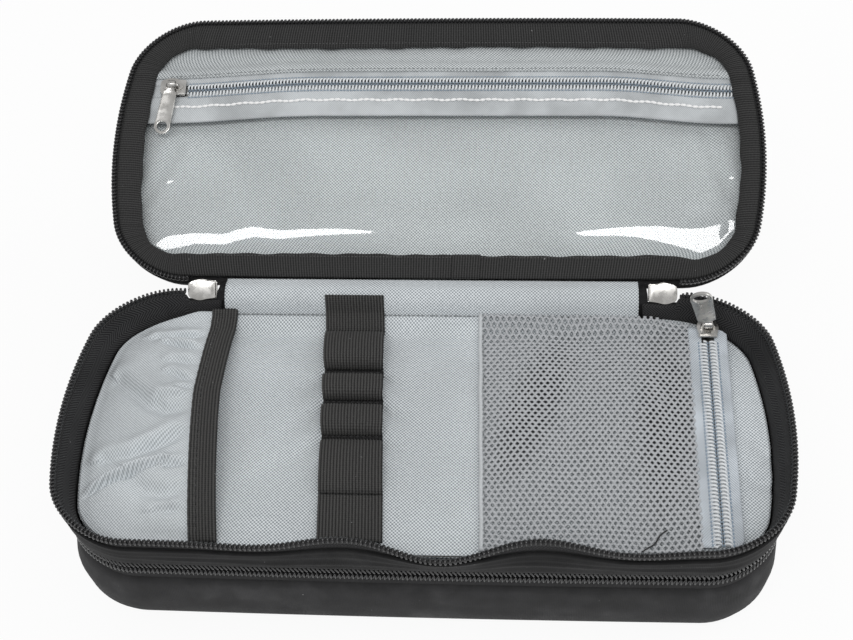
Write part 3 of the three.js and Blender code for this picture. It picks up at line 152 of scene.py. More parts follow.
# Materials. Weaves are drawn on flat cloth coordinates in millimetres.
class Look:
    def __init__(self, name):
        self.material = bpy.data.materials.new(name)
        self.material.use_nodes = True
        self.tree = self.material.node_tree
        self.tree.nodes.clear()
        self.out = self.node("ShaderNodeOutputMaterial")
        self.shader = self.node("ShaderNodeBsdfPrincipled")
        self.link(self.shader.outputs[0], self.out.inputs[0])

    def node(self, kind, **settings):
        made = self.tree.nodes.new(kind)
        for key, value in settings.items():
            setattr(made, key, value)
        return made

    def link(self, start, end):
        self.tree.links.new(start, end)

    def put(self, socket, value):
        if isinstance(value, bpy.types.NodeSocket):
            self.link(value, socket)
        else:
            socket.default_value = value

    def set(self, name, value):
        self.put(self.shader.inputs[name], value)
        return self

    def math(self, operation, a, b=0.0, c=0.0):
        made = self.node("ShaderNodeMath", operation=operation)
        for socket, value in zip(made.inputs, (a, b, c)):
            self.put(socket, value)
        return made.outputs[0]

    def flat(self):
        made = self.node("ShaderNodeUVMap", uv_map="flat")
        parts = self.node("ShaderNodeSeparateXYZ")
        self.link(made.outputs[0], parts.inputs[0])
        return parts.outputs[0], parts.outputs[1]

    def wave(self, along, pitch):
        """0 to 1 and back over each pitch."""
        turned = self.math("SINE", self.math("MULTIPLY", along, TAU / pitch))
        return self.math("MULTIPLY_ADD", turned, 0.5, 0.5)

    def ease(self, value, low, high, to_low=0.0, to_high=1.0):
        made = self.node("ShaderNodeMapRange", interpolation_type="SMOOTHSTEP")
        for socket, number in zip(made.inputs, (value, low, high, to_low, to_high)):
            self.put(socket, number)
        return made.outputs[0]

    def noise(self, scale, detail=2.0, flat=False):
        made = self.node("ShaderNodeTexNoise")
        made.inputs["Scale"].default_value = scale
        made.inputs["Detail"].default_value = detail
        if flat:
            place = self.node("ShaderNodeUVMap", uv_map="flat")
            self.link(place.outputs[0], made.inputs["Vector"])
        else:
            place = self.node("ShaderNodeTexCoord")
            self.link(place.outputs["Object"], made.inputs["Vector"])
        return made.outputs[0]

    def mix(self, factor, low, high):
        made = self.node("ShaderNodeMix", data_type="RGBA")
        self.put(made.inputs[0], factor)
        for socket, value in ((made.inputs[6], low), (made.inputs[7], high)):
            self.put(socket, value if isinstance(value, bpy.types.NodeSocket) else (*value, 1))
        return made.outputs[2]

    def shade(self, colour, factor):
        """The colour multiplied by a value."""
        made = self.node("ShaderNodeMix", data_type="RGBA", blend_type="MULTIPLY")
        made.inputs[0].default_value = 1
        self.put(made.inputs[6], colour)
        self.put(made.inputs[7], factor)
        return made.outputs[2]

    def bump(self, height, distance, strength=1.0):
        made = self.node("ShaderNodeBump")
        made.inputs["Distance"].default_value = distance * MM
        made.inputs["Strength"].default_value = strength
        self.put(made.inputs["Height"], height)
        return self.set("Normal", made.outputs[0])

    def blob(self, u, v, x, y, wide, tall, slant):
        """1 at a point, fading over an upright oval that leans by a slant."""
        up = self.math("DIVIDE", self.math("SUBTRACT", v, y), tall)
        over = self.math("MULTIPLY_ADD", up, -slant * tall, self.math("SUBTRACT", u, x))
        far = self.math("MULTIPLY_ADD", up, up, self.math("POWER", self.math("DIVIDE", over, wide), 2.0))
        return self.ease(far, 1.6, 0.1)

    def cloth(self, colour, rough, sheen=0.04):
        """A dull woven surface."""
        self.set("Base Color", colour).set("Roughness", rough)
        return self.set("Sheen Weight", sheen).set("Specular IOR Level", 0.25)

    def blend(self, factor, low, high):
        """Two shaders mixed by a factor."""
        made = self.node("ShaderNodeMixShader")
        for socket, value in zip(made.inputs, (factor, low, high)):
            self.put(socket, value)
        return made.outputs[0]

    def lint(self, colour, amount=0.735):
        """A few pale specks of lint on dark cloth."""
        specks = self.ease(self.noise(0.75, 3, flat=True), amount, amount + 0.04)
        return self.mix(specks, colour, (0.4, 0.4, 0.4))


def woven(name, light, dark, painted_light=False):
    """Plain weave: light thread tops with dark gaps in a chequer. With painted light, as on the tray's floor: painted
    shade under the net, deeper in two patches, and the floor painted lighter towards its right end."""
    look = Look(name)
    u, v = look.flat()
    pitch = 1.08
    slip = look.math("MULTIPLY", look.noise(0.05, 2, flat=True), 1.1)
    slipped = [look.math("MULTIPLY", look.math("ADD", way, slip), TAU / pitch) for way in (u, v)]
    across, along = (look.math("SINE", way) for way in slipped)
    chequer = look.math("MULTIPLY_ADD", look.math("MULTIPLY", across, along), 0.5, 0.5)
    thread = look.noise(0.9, 3, flat=True)
    tops = look.ease(look.math("MULTIPLY_ADD", thread, 0.3, look.math("SUBTRACT", chequer, 0.15)), 0.16, 0.78)
    cloud = look.ease(look.noise(34, 3), 0.3, 0.7, 0.93, 1.05)
    colour = look.shade(look.mix(tops, dark, light), cloud)
    if painted_light:
        # Painted shade under the net: a mask over the net's area, deeper in two patches, mixed towards a dark grey.
        seam = look.math("MULTIPLY_ADD", v, 0.028, u)
        held = look.math("MULTIPLY", look.ease(seam, 17.7, 18.4), look.ease(u, 82, 81))
        shade_patch_left = look.blob(u, v, 33.5, 9, 9, 27, 0.32)
        shade_patch_right = look.blob(u, v, 73, 4, 8.5, 34, 0.05)
        deep = look.math("MULTIPLY_ADD", look.math("MAXIMUM", shade_patch_left, shade_patch_right), 0.72, 0.2)
        colour = look.mix(look.math("MULTIPLY", held, deep), colour, (0.04, 0.042, 0.045))
        # Painted light: the floor lighter towards its right end, against the shade of the walls.
        colour = look.shade(colour, look.ease(u, 84, 96, 1.0, 1.25))
    return look.cloth(colour, 0.85, 0.08).bump(chequer, 0.11).material


def twill(name, light, dark, pitch, band, depth, lint=True):
    """Herringbone tape: slanted ribs that change side over each band."""
    look = Look(name)
    u, v = look.flat()
    zigzag = look.math("PINGPONG", v, band)
    ribs = look.wave(look.math("ADD", u, look.math("MULTIPLY", zigzag, 1.1)), pitch)
    fuzz = look.noise(2.2, 3, flat=True)
    tops = look.ease(look.math("MULTIPLY_ADD", fuzz, 0.5, look.math("MULTIPLY", ribs, 0.75)), 0.3, 0.95)
    cloud = look.ease(look.noise(60, 3), 0.3, 0.7, 0.8, 1.15)
    colour = look.shade(look.mix(tops, dark, light), cloud)
    return look.cloth(look.lint(colour) if lint else colour, 0.82).bump(ribs, depth).material


def ribbed(name, light, dark, pitch, lengthwise, depth):
    """Ribbed band: grosgrain with ribs across its length, or elastic with ribs along it."""
    look = Look(name)
    u, v = look.flat()
    main, cross = (v, u) if lengthwise else (u, v)
    ribs = look.wave(main, pitch)
    picks = look.wave(cross, 0.62)
    fuzz = look.noise(1.7, 3, flat=True)
    height = look.math("MULTIPLY_ADD", picks, 0.3, look.math("MULTIPLY", ribs, 0.7))
    tops = look.ease(look.math("MULTIPLY_ADD", fuzz, 0.5, look.math("MULTIPLY", height, 0.7)), 0.3, 0.9)
    return look.cloth(look.lint(look.mix(tops, dark, light)), 0.8).bump(height, depth).material


def shell_cloth(name, level):
    """Smooth dark outer cloth with a very fine weave and faint rubbed marks."""
    look = Look(name)
    u, v = look.flat()
    grain = look.math("MULTIPLY", look.wave(u, 0.5), look.wave(v, 0.5))
    rubbed = look.ease(look.noise(70, 5), 0.5, 0.78)
    streak = look.noise(0.12, 4, flat=True)
    low, high, worn = ((level * k, level * k, level * k * 1.04) for k in (0.75, 1.2, 2.6))
    base = look.mix(look.ease(streak, 0.3, 0.75), low, high)
    colour = look.mix(look.math("MULTIPLY", rubbed, 0.35), base, worn)
    look.cloth(look.lint(colour, 0.745), look.ease(rubbed, 0.0, 1.0, 0.8, 0.68))
    return look.bump(look.math("MULTIPLY_ADD", streak, 0.5, grain), 0.06).material


def filament(name, colour, rough):
    """Moulded nylon thread of a zip coil, with faint streaks."""
    look = Look(name)
    streak = look.noise(900, 2)
    dark = tuple(0.75 * c for c in colour)
    look.set("Base Color", look.mix(streak, dark, colour))
    look.set("Roughness", look.ease(streak, 0.3, 0.7, rough - 0.06, rough + 0.08)).set("Specular IOR Level", 0.7)
    return look.bump(streak, 0.02, 0.4).material


def sewing_thread(name, colour, low=0.6):
    look = Look(name)
    twist = look.noise(2600, 1)
    look.set("Base Color", look.mix(twist, tuple(low * c for c in colour), colour))
    look.set("Roughness", 0.75).set("Sheen Weight", 0.2)
    return look.bump(twist, 0.04).material


def nickel(name):
    """Plated die casting: satin, with fine scratches and duller patches."""
    look = Look(name)
    scratch = look.noise(520, 6)
    patch = look.noise(160, 3)
    look.set("Metallic", 1.0)
    look.set("Base Color", look.mix(look.ease(patch, 0.35, 0.7), (0.5, 0.49, 0.47), (0.66, 0.65, 0.63)))
    look.set("Roughness", look.ease(scratch, 0.3, 0.75, 0.2, 0.42))
    return look.bump(scratch, 0.015, 0.5).material


def clear_film(name):
    """Clear flexible film: mirror gloss over what lies behind it, and a faint haze."""
    look = Look(name)
    dirt = look.ease(look.noise(45, 4), 0.45, 0.8, 0.0, 0.05)
    gloss = look.node("ShaderNodeBsdfGlossy")
    gloss.inputs["Roughness"].default_value = 0.04
    clear = look.node("ShaderNodeBsdfTransparent")
    clear.inputs[0].default_value = (0.995, 1, 1, 1)
    look.set("Base Color", (0.8, 0.82, 0.82, 1)).set("Roughness", 0.3)
    hazed = look.blend(dirt, clear.outputs[0], look.shader.outputs[0])
    fresnel = look.node("ShaderNodeFresnel")
    fresnel.inputs[0].default_value = 1.5
    behind = look.node("ShaderNodeNewGeometry").outputs["Backfacing"]
    shine = look.math("MULTIPLY", fresnel.outputs[0], look.math("MULTIPLY_ADD", behind, -1.8, 1.8))
    look.link(look.blend(shine, hazed, gloss.outputs[0]), look.out.inputs[0])
    return look.material


def board(name):
    look = Look(name)
    fibre = look.noise(420, 5)
    look.set("Base Color", look.mix(fibre, (0.22, 0.2, 0.17), (0.36, 0.33, 0.28)))
    look.set("Roughness", 0.9)
    return look.bump(fibre, 0.05).material


add_camera()
add_stage()
LINING = woven("grey_lining", (0.82, 0.86, 0.885), (0.265, 0.295, 0.315))
POCKET_LINING = woven("grey_lining_pocket", (0.76, 0.8, 0.825), (0.4, 0.43, 0.45))
FLOOR_LINING = woven("grey_lining_floor", (0.82, 0.86, 0.885), (0.265, 0.295, 0.315), painted_light=True)
LID_LINING = woven("grey_lining_lid", (0.86, 0.89, 0.9), (0.27, 0.295, 0.31))
STRIP_LINING = woven("grey_lining_strip", (0.7, 0.73, 0.74), (0.23, 0.255, 0.265))
GREY_TAPE = twill("grey_tape", (0.7, 0.745, 0.79), (0.43, 0.475, 0.52), 0.9, 40, 0.06, lint=False)
WINDOW_TAPE = twill("grey_window_tape", (0.6, 0.625, 0.64), (0.44, 0.465, 0.48), 0.8, 40, 0.04, lint=False)
BLACK_TAPE = twill("black_tape", (0.046, 0.046, 0.047), (0.008, 0.008, 0.009), 0.95, 2.4, 0.08)
PLAIN_TAPE = twill("black_zip_tape", (0.02, 0.02, 0.021), (0.008, 0.008, 0.009), 0.7, 1.6, 0.05)
GROSGRAIN = ribbed("grosgrain", (0.052, 0.052, 0.052), (0.012, 0.012, 0.012), 0.85, False, 0.14)
ELASTIC = ribbed("elastic", (0.078, 0.077, 0.075), (0.015, 0.015, 0.015), 0.95, True, 0.12)
# Painted shade: a darker copy of the elastic.
ELASTIC_IN_SHADE = ribbed("elastic_painted_shade", (0.022, 0.022, 0.022), (0.006, 0.006, 0.006), 0.95, True, 0.12)
SHELL = shell_cloth("shell_cloth", 0.026)
# Painted shade: the band's cloth is the shell's cloth, made darker because the band faces up towards the light.
SHADED_BAND_CLOTH = shell_cloth("band_cloth", 0.014)
NET = sewing_thread("net_thread", (0.6, 0.62, 0.645))
BLACK_COIL = filament("black_coil", (0.018, 0.018, 0.019), 0.17)
PALE_COIL = filament("pale_coil", (0.9, 0.93, 0.95), 0.3)
BLUE_THREAD = sewing_thread("blue_thread", (0.33, 0.42, 0.52))
GREY_THREAD = sewing_thread("grey_thread", (0.3, 0.32, 0.33))
# Pure white thread: white stitching, partly a painted highlight.
WHITE_THREAD_AND_SHINE = sewing_thread("white_thread_and_shine", (1.0, 1.0, 1.0), 0.94)
PALE_EDGE = sewing_thread("pale_edge", (0.72, 0.75, 0.77))
DULL_THREAD = sewing_thread("dull_thread", (0.1, 0.1, 0.1))
BLACK_THREAD = sewing_thread("black_thread", (0.02, 0.02, 0.021))
NICKEL = nickel("nickel")
FILM = clear_film("clear_film")
BOARD = board("board")


# Meshes.
class Shape:
    """Points, faces and flat cloth coordinates, gathered before a mesh is made of them."""

    def __init__(self):
        self.points, self.faces, self.flat = [], [], []
        self.count = 0

    def add(self, points, faces, flat):
        """Faces index these points; flat has one pair for each point."""
        points, flat = np.asarray(points, float).reshape(-1, 3), np.asarray(flat, float).reshape(-1, 2)
        self.points.append(points)
        for face in faces:
            self.faces.append([self.count + int(i) for i in face])
            self.flat.append(flat[list(face)])
        self.count += len(points)
        return self

    def grid(self, points, u, v, wrap_u=False, wrap_v=False):
        """A net of four-sided faces over points[i, j]. A wrapped side has one more flat coordinate than points."""
        n, m = points.shape[:2]
        i = np.arange(n if wrap_u else n - 1)
        j = np.arange(m if wrap_v else m - 1)
        i, j = (a.ravel() for a in np.meshgrid(i, j, indexing="ij"))
        i2, j2 = (i + 1) % n, (j + 1) % m
        quads = np.stack([i * m + j, i2 * m + j, i2 * m + j2, i * m + j2], 1) + self.count
        u, v = np.asarray(u, float), np.asarray(v, float)
        flat = np.stack([
            np.stack([u[i], v[j]], 1), np.stack([u[i + 1], v[j]], 1),
            np.stack([u[i + 1], v[j + 1]], 1), np.stack([u[i], v[j + 1]], 1),
        ], 1)
        self.points.append(points.reshape(-1, 3))
        self.faces.extend(quads.tolist())
        self.flat.extend(flat)
        self.count += n * m
        return self

    def tube(self, rows, u=None, v=None):
        """Rings of points joined to a tube, with its ends closed."""
        rows = np.asarray(rows, float)
        n, m = rows.shape[:2]
        start = self.count
        self.grid(rows, np.arange(n) if u is None else u, np.arange(m + 1) if v is None else v, wrap_v=True)
        for ring in (range(m), range((n - 1) * m, n * m)):
            self.faces.append([start + k for k in ring])
            self.flat.append(np.zeros((m, 2)))
        return self

    def slab(self, top, bottom, u, v):
        """A closed sheet between two grids of the same size."""
        n, m = top.shape[:2]
        start = self.count
        self.grid(top, u, v)
        self.grid(bottom, u, v)
        around = [(i, 0) for i in range(n)] + [(n - 1, j) for j in range(1, m)]
        around += [(i, m - 1) for i in range(n - 2, -1, -1)] + [(0, j) for j in range(m - 2, 0, -1)]
        for k, (i, j) in enumerate(around):
            i2, j2 = around[(k + 1) % len(around)]
            a, b = i * m + j, i2 * m + j2
            self.faces.append([start + a, start + b, start + n * m + b, start + n * m + a])
            self.flat.append(np.array([(u[i], v[j]), (u[i2], v[j2]), (u[i2], v[j2]), (u[i], v[j])]))
        return self

    def lie_flat(self, scale=1.0):
        """Takes the flat coordinates from x and y."""
        flat = np.concatenate(self.points)[:, :2] * scale
        self.flat = [flat[face] for face in self.faces]
        return self

    def turn(self, matrix):
        self.points = [apply(matrix, p) for p in self.points]
        return self

    def join(self, other, matrix=None):
        for p in other.points:
            self.points.append(p if matrix is None else apply(matrix, p))
        self.faces.extend([[self.count + i for i in face] for face in other.faces])
        self.flat.extend(other.flat)
        self.count += other.count
        return self


def points_at(x, y, z):
    return np.stack(np.broadcast_arrays(x, y, z), -1)


def layers(x, y, top, bottom, u, v):
    """A closed sheet over the same x and y, between two heights."""
    return Shape().slab(points_at(x, y, top), points_at(x, y, bottom), u, v)


def apply(matrix, points):
    made = np.array(matrix)
    return points @ made[:3, :3].T + made[:3, 3]


LID = Matrix.Translation((0, HINGE_Y, HINGE_Z)) @ Matrix.Rotation(LID_TURN, 4, "X")
LID = LID @ Matrix.Translation((0, -HINGE_Y, -HINGE_Z))


def piece(name, shape, material, body, nodes=(), crisp=False, turned=None):
    """A visible piece on a body. Pieces of the lid are made as they lie when it is closed, and turned open here."""
    if body == "lid":
        turned = LID
    if turned is not None:
        shape.turn(turned)
    mesh = bpy.data.meshes.new(name)
    mesh.from_pydata((np.concatenate(shape.points) * MM).tolist(), [], shape.faces)
    layer = mesh.uv_layers.new(name="flat")
    layer.data.foreach_set("uv", np.concatenate(shape.flat).astype(np.float32).ravel())
    made = bmesh.new()
    made.from_mesh(mesh)
    bmesh.ops.recalc_face_normals(made, faces=made.faces)
    made.to_mesh(mesh)
    made.free()
    mesh.polygons.foreach_set("use_smooth", [True] * len(mesh.polygons))
    if crisp:
        mesh.set_sharp_from_angle(angle=math.radians(32))
    mesh.materials.append(material)
    thing = bpy.data.objects.new(name, mesh)
    bpy.context.scene.collection.objects.link(thing)
    if nodes:
        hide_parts(*nodes)
    if body:
        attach(thing, body)
    return thing


# The outline of the case.
def stops(step, left=None, right=None):
    """Stops round the outline from the back left by the front to the back right: core point and way out."""
    rows = []

    def side(x0, y0, x1, y1, nx, ny):
        n = max(1, round(math.hypot(x1 - x0, y1 - y0) / step))
        rows.extend((x0 + (x1 - x0) * k / n, y0 + (y1 - y0) * k / n, nx, ny) for k in range(n))

    def corner(sx, sy, start):
        n = max(4, round(CORNER_RADIUS * math.pi / 2 / step))
        for k in range(n):
            angle = start + math.pi / 2 * k / n
            rows.append((sx * STRAIGHT_X, sy * STRAIGHT_Y, math.cos(angle), math.sin(angle)))

    side(-(left or 0), STRAIGHT_Y, -STRAIGHT_X, STRAIGHT_Y, 0, 1)
    corner(-1, 1, math.pi / 2)
    side(-STRAIGHT_X, STRAIGHT_Y, -STRAIGHT_X, -STRAIGHT_Y, -1, 0)
    corner(-1, -1, math.pi)
    side(-STRAIGHT_X, -STRAIGHT_Y, STRAIGHT_X, -STRAIGHT_Y, 0, -1)
    corner(1, -1, math.pi * 1.5)
    side(STRAIGHT_X, -STRAIGHT_Y, STRAIGHT_X, STRAIGHT_Y, 1, 0)
    corner(1, 1, 0)
    side(STRAIGHT_X, STRAIGHT_Y, right or 0, STRAIGHT_Y, 0, 1)
    if left is not None:
        rows.append((right, STRAIGHT_Y, 0, 1))
    return np.array(rows)


def wave_out(x, z):
    height = np.clip((z - WAVE_FOOT) / (RIM - WAVE_FOOT), 0, None)
    along = np.clip((x - 12) / 85, -1, 1)
    return 4.4 * np.cos(math.pi / 2 * along) ** 2 * np.cos(TAU * (x - 7.5) / 60) * height**1.3


def outline(at, inset, z, waved=False):
    """Points of the outline at stops, moved in by an inset, with the ends and sides bowed out."""
    reach = CORNER_RADIUS - inset
    x, y = at[:, 0] + at[:, 2] * reach, at[:, 1] + at[:, 3] * reach
    bx = x * (1 + END_BOW / CORE_X * (1 - (y / CORE_Y) ** 2))
    by = y * (1 + SIDE_BOW / CORE_Y * (1 - (x / CORE_X) ** 2))
    z = np.broadcast_to(np.asarray(z, float), bx.shape)
    if waved:
        by = by - wave_out(bx, z) * np.clip(-at[:, 3], 0, None)
    return np.stack([bx, by, z], 1)


def edge_x(y, side, inset, step=1.0, beyond=60):
    """Where the outline's left (-1) or right (1) end lies."""
    edge = outline(stops(step), inset, 0)
    part = edge[edge[:, 0] * side > beyond]
    part = part[np.argsort(part[:, 1])]
    return np.interp(y, part[:, 1], part[:, 0])


def lengths(points, closed=False):
    """Distance along a line of points. A closed line gets one more, its whole length."""
    line = np.concatenate([points, points[:1]]) if closed else points
    return np.concatenate([[0], np.cumsum(np.linalg.norm(np.diff(line, axis=0), axis=1))])


def swept(at, section, ring=True, waved=False):
    """A section carried round the outline. The section is points of inset and height, the same or one set a stop."""
    section = np.asarray(section, float)
    if section.ndim == 2:
        section = np.broadcast_to(section, (len(at), *section.shape))
    count = section.shape[1]
    rows = np.stack([outline(at, section[:, j, 0], section[:, j, 1], waved) for j in range(count)], 1)
    u, v = lengths(rows[:, 0], ring), lengths(section[0], True)
    if ring:
        return Shape().grid(rows, u, v, wrap_u=True, wrap_v=True)
    return Shape().tube(rows, u, v)


def round_off(before, corner, after, radius, most, steps):
    """Points of the curve that replaces a corner. It takes at most a share of either side."""
    a, b = before - corner, after - corner
    la, lb = np.linalg.norm(a), np.linalg.norm(b)
    cut = min(radius, la * most, lb * most)
    start, end = corner + a / la * cut, corner + b / lb * cut
    shares = [k / steps for k in range(steps + 1)]
    return [(1 - t) ** 2 * start + 2 * t * (1 - t) * corner + t * t * end for t in shares]


def rounded(corners, radius, steps=3):
    """A closed section with its corners rounded."""
    corners = np.asarray(corners, float)
    made = []
    for i, p in enumerate(corners):
        made += round_off(corners[i - 1], p, corners[(i + 1) % len(corners)], radius, 0.45, steps)
    return np.array(made)


# Wound coils and sewn lines along a path.
def unit(ways):
    return ways / np.linalg.norm(ways, axis=-1, keepdims=True)


def ring_round(one, two, sides):
    """A ring of ways at each stop of a line, from two ways across it."""
    angle = TAU * np.arange(sides) / sides
    return one[:, None] * np.cos(angle)[None, :, None] + two[:, None] * np.sin(angle)[None, :, None]


class Path:
    """A line of points with the ways out and up beside it, read by distance."""

    def __init__(self, points, out, up):
        self.points, self.out, self.up = (np.asarray(a, float) for a in (points, out, up))
        self.far = lengths(self.points)
        self.length = self.far[-1]

    def read(self, values, s):
        return np.stack([np.interp(s, self.far, values[:, k]) for k in range(3)], 1)

    def at(self, s):
        return self.read(self.points, s), unit(self.read(self.out, s)), unit(self.read(self.up, s))


def outline_path(inset, z, left, right, waved=False):
    """A path round the outline from back left to back right."""
    at = stops(0.8, left, right)
    points = outline(at, inset, z, waved)
    way = np.gradient(points, axis=0)
    out = np.stack([-way[:, 1], way[:, 0], np.zeros(len(way))], 1)
    facing = np.sign((out[:, :2] * at[:, 2:]).sum(1, keepdims=True))
    return Path(points, out * facing, np.tile([0.0, 0.0, 1.0], (len(at), 1)))


def wound(path, pitch, half_up, half_out, wire, phase=0.0, per_turn=10):
    """A filament wound along a path, as a zip's coil is. It moves on mainly in the hidden half of each turn."""
    k = np.arange(int(path.length / pitch) * per_turn + 1)
    part = k / per_turn % 1
    s = pitch * (k // per_turn + 0.25 * part + 0.75 * smooth(part, 0.45, 0.95))
    angle = TAU * (k / per_turn + phase)
    centre, out, up = path.at(s)
    line = centre + out * (half_out * np.sin(angle))[:, None] + up * (half_up * np.cos(angle))[:, None]
    way = unit(np.gradient(line, axis=0))
    one = unit(np.cross(way, np.cross(out, up)))
    return Shape().tube(line[:, None] + wire / 2 * ring_round(one, np.cross(way, one), 6), s)


def grains(path, pitch, length, width, height, jitter=0.0, seed=1):
    """A row of sewn stitches: small rounded grains along a path, which stand on the way up."""
    count = max(1, int(path.length / pitch))
    centre, out, up = path.at(pitch * (np.arange(count) + 0.5))
    ahead = np.cross(out, up)
    rng = np.random.default_rng(seed)
    shape = Shape()
    marks = np.linspace(-1, 1, 5)
    swell = np.sqrt(np.clip(1 - (marks * 0.97) ** 2, 0, 1))
    ring = TAU * np.arange(6) / 6
    for c, o, w, a in zip(centre, out, up, ahead):
        tilt = jitter * rng.normal()
        way = a * math.cos(tilt) + o * math.sin(tilt)
        side = o * math.cos(tilt) - a * math.sin(tilt)
        round_it = np.outer(np.cos(ring), side) * width / 2 + np.outer(np.sin(ring), w) * height / 2
        shape.tube([c + way * (length / 2 * t) + full * round_it for t, full in zip(marks, swell)])
    return shape


def line_path(points, up=(0, 0, 1)):
    points = np.asarray(points, float)
    way = np.gradient(points, axis=0)
    up = np.tile(np.asarray(up, float), (len(points), 1)) if np.ndim(up) == 1 else np.asarray(up, float)
    return Path(points, np.cross(up, way), up)


# Floor of the tray.
PAD_EDGE = outline(stops(4), PAD_INSET, 0)[:, :2]


def floor_top(x, y):
    """Height of the crowned floor at points. It turns up along the hinge."""
    x, y = np.asarray(x, float), np.asarray(y, float)
    a, b = PAD_EDGE, np.roll(PAD_EDGE, -1, axis=0)
    normal = np.stack([b[:, 1] - a[:, 1], a[:, 0] - b[:, 0]], 1)
    reach = (a * normal).sum(1)
    share = np.max([(x * n[0] + y * n[1]) / r for n, r in zip(normal, reach)], axis=0)
    marks = np.array([0.45, 0.75, 1.0])
    crown = np.interp(share, marks, FLOOR_EDGE + FLOOR_CROWN * (1 - marks**2))
    return crown + 3.8 * smooth(y, 36.5, 45.6) * smooth(np.abs(x), 98, 74)


# Lower case.
def tub(inset, floor, rim, wall, base, fillet, bulge, seed, lip=0.5, ends=(0.0, 0.0), dent=0.0):
    """A soft tub: rings from the middle of its floor out and up to the rim, then down inside. A rim below the floor
    turns it upside down. Its left and right ends can swell out, and its back can be dented under the hanging pull."""
    at = stops(2.2)
    up = math.copysign(1, rim - floor)
    height = abs(rim - floor)
    bends = np.linspace(0, math.pi / 2, 7)
    floor_shares = [0.12, 0.35, 0.6, 0.85]
    level = len(floor_shares)
    section = [(inset + fillet, 0.0)] * level
    section += [(inset + fillet * (1 - math.sin(a)), fillet * (1 - math.cos(a))) for a in bends]
    section += [(inset - bulge * math.sin(math.pi * t), fillet + (height - fillet) * t * 0.98)
                for t in np.linspace(0, 1, 9)[1:-1]]
    section += [(inset + 0.1, height - lip), (inset + lip, height), (inset + wall - lip, height),
                (inset + wall, height - lip)]
    deep = fillet - wall
    section += [(inset + wall + deep * (1 - math.sin(a)), base + deep * (1 - math.cos(a))) for a in bends[::-1]]
    section += [(inset + wall + deep, base)] * level
    shares = floor_shares + [1] * (len(section) - 2 * level) + floor_shares[::-1]
    rows = []
    for k, ((n, z), share) in enumerate(zip(section, shares)):
        ring = outline(at, n, floor + up * z)
        if bulge and 8 < k < 18:
            soft = 0.25 * ripple(ring[:, 0] + ring[:, 1], ring[:, 2] * 3, 34, seed)
            ring[:, :2] += at[:, 2:] * soft[:, None]
        full = math.sin(math.pi * min(max((k - 5) / 13, 0), 1))
        ring[:, 0] += full * (ends[1] * smooth(ring[:, 0], 55, 104) - ends[0] * smooth(-ring[:, 0], 55, 104))
        ring[:, 1] -= dent * np.exp(-(((ring[:, 0] - SIDE_PULL_X) / 7) ** 4)) * (ring[:, 1] > 30)
        ring[:, :2] *= share
        rows.append(ring)
    rows = np.stack(rows, 1)
    shape = Shape()
    u = lengths(rows[:, 14], True)
    shape.grid(rows, u, lengths(np.array(section)), wrap_u=True)
    n, m = rows.shape[:2]
    points = shape.points[0]
    for k, face in enumerate(shape.faces):
        across = [i % m for i in face]
        if max(across) <= level or min(across) >= m - 1 - level:
            shape.flat[k] = points[face][:, :2]
    for ring in (range(0, n * m, m), range(m - 1, n * m, m)):
        shape.faces.append(list(ring))
        shape.flat.append(points[list(ring)][:, :2])
    return shape


def make_lower_case():
    shell = tub(3, 0, SHELL_TOP, 3, 3, 12, 0.5, 3, lip=0.9, ends=(2.2, 1.4), dent=0.9)
    piece("tub_shell", shell, SHELL, "lower_case", ["lower_shell"])
    lining = tub(6.3, 5.6, SHELL_TOP - 0.3, 0.6, 0.6, 8.4, 0, 4, lip=0.15)
    made = piece("tub_lining", lining, LINING, "lower_case", ["lower_lining"])
    side_zip("lower", "lower_case", 27.1, SIDE_ZIP - 0.55, SIDE_ZIP - 0.3 - 1.3, 50.0, 50.0)


def side_zip(which, body, low, high, chain, left, right):
    """Half of the zip round the side: tape, coil and the rows of stitches that hold it."""
    tape = swept(stops(1.6, left, right), rounded([(3.85, low), (3.85, high), (4.45, high), (4.45, low)], 0.2, 1),
                 ring=False)
    piece(f"side_tape_{which}", tape, PLAIN_TAPE, body, [f"lower_zip_tape_{which}"])
    path = outline_path(3.0, chain, left, right)
    flip = 0.5 if which == "upper" else 0.0
    coil = wound(path, 1.3, 1.14, 0.3, 0.74, phase=flip)
    piece(f"side_coil_{which}", coil, BLACK_COIL, body, [f"lower_zip_coil_{which}"])
    outer = chain - 2.1 if which == "lower" else chain + 1.75
    row = outline_path(3.8, outer, left, right)
    upright = Path(row.points, row.up, row.out)
    piece(f"side_stitches_{which}", grains(upright, 1.3, 0.8, 0.42, 0.4), BLACK_THREAD, body)


# Tray walls.
def wall_inset(z):
    return 0.8 + 3.6 * (TAPE_TOP - z) / (TAPE_TOP - PAD_BOTTOM)


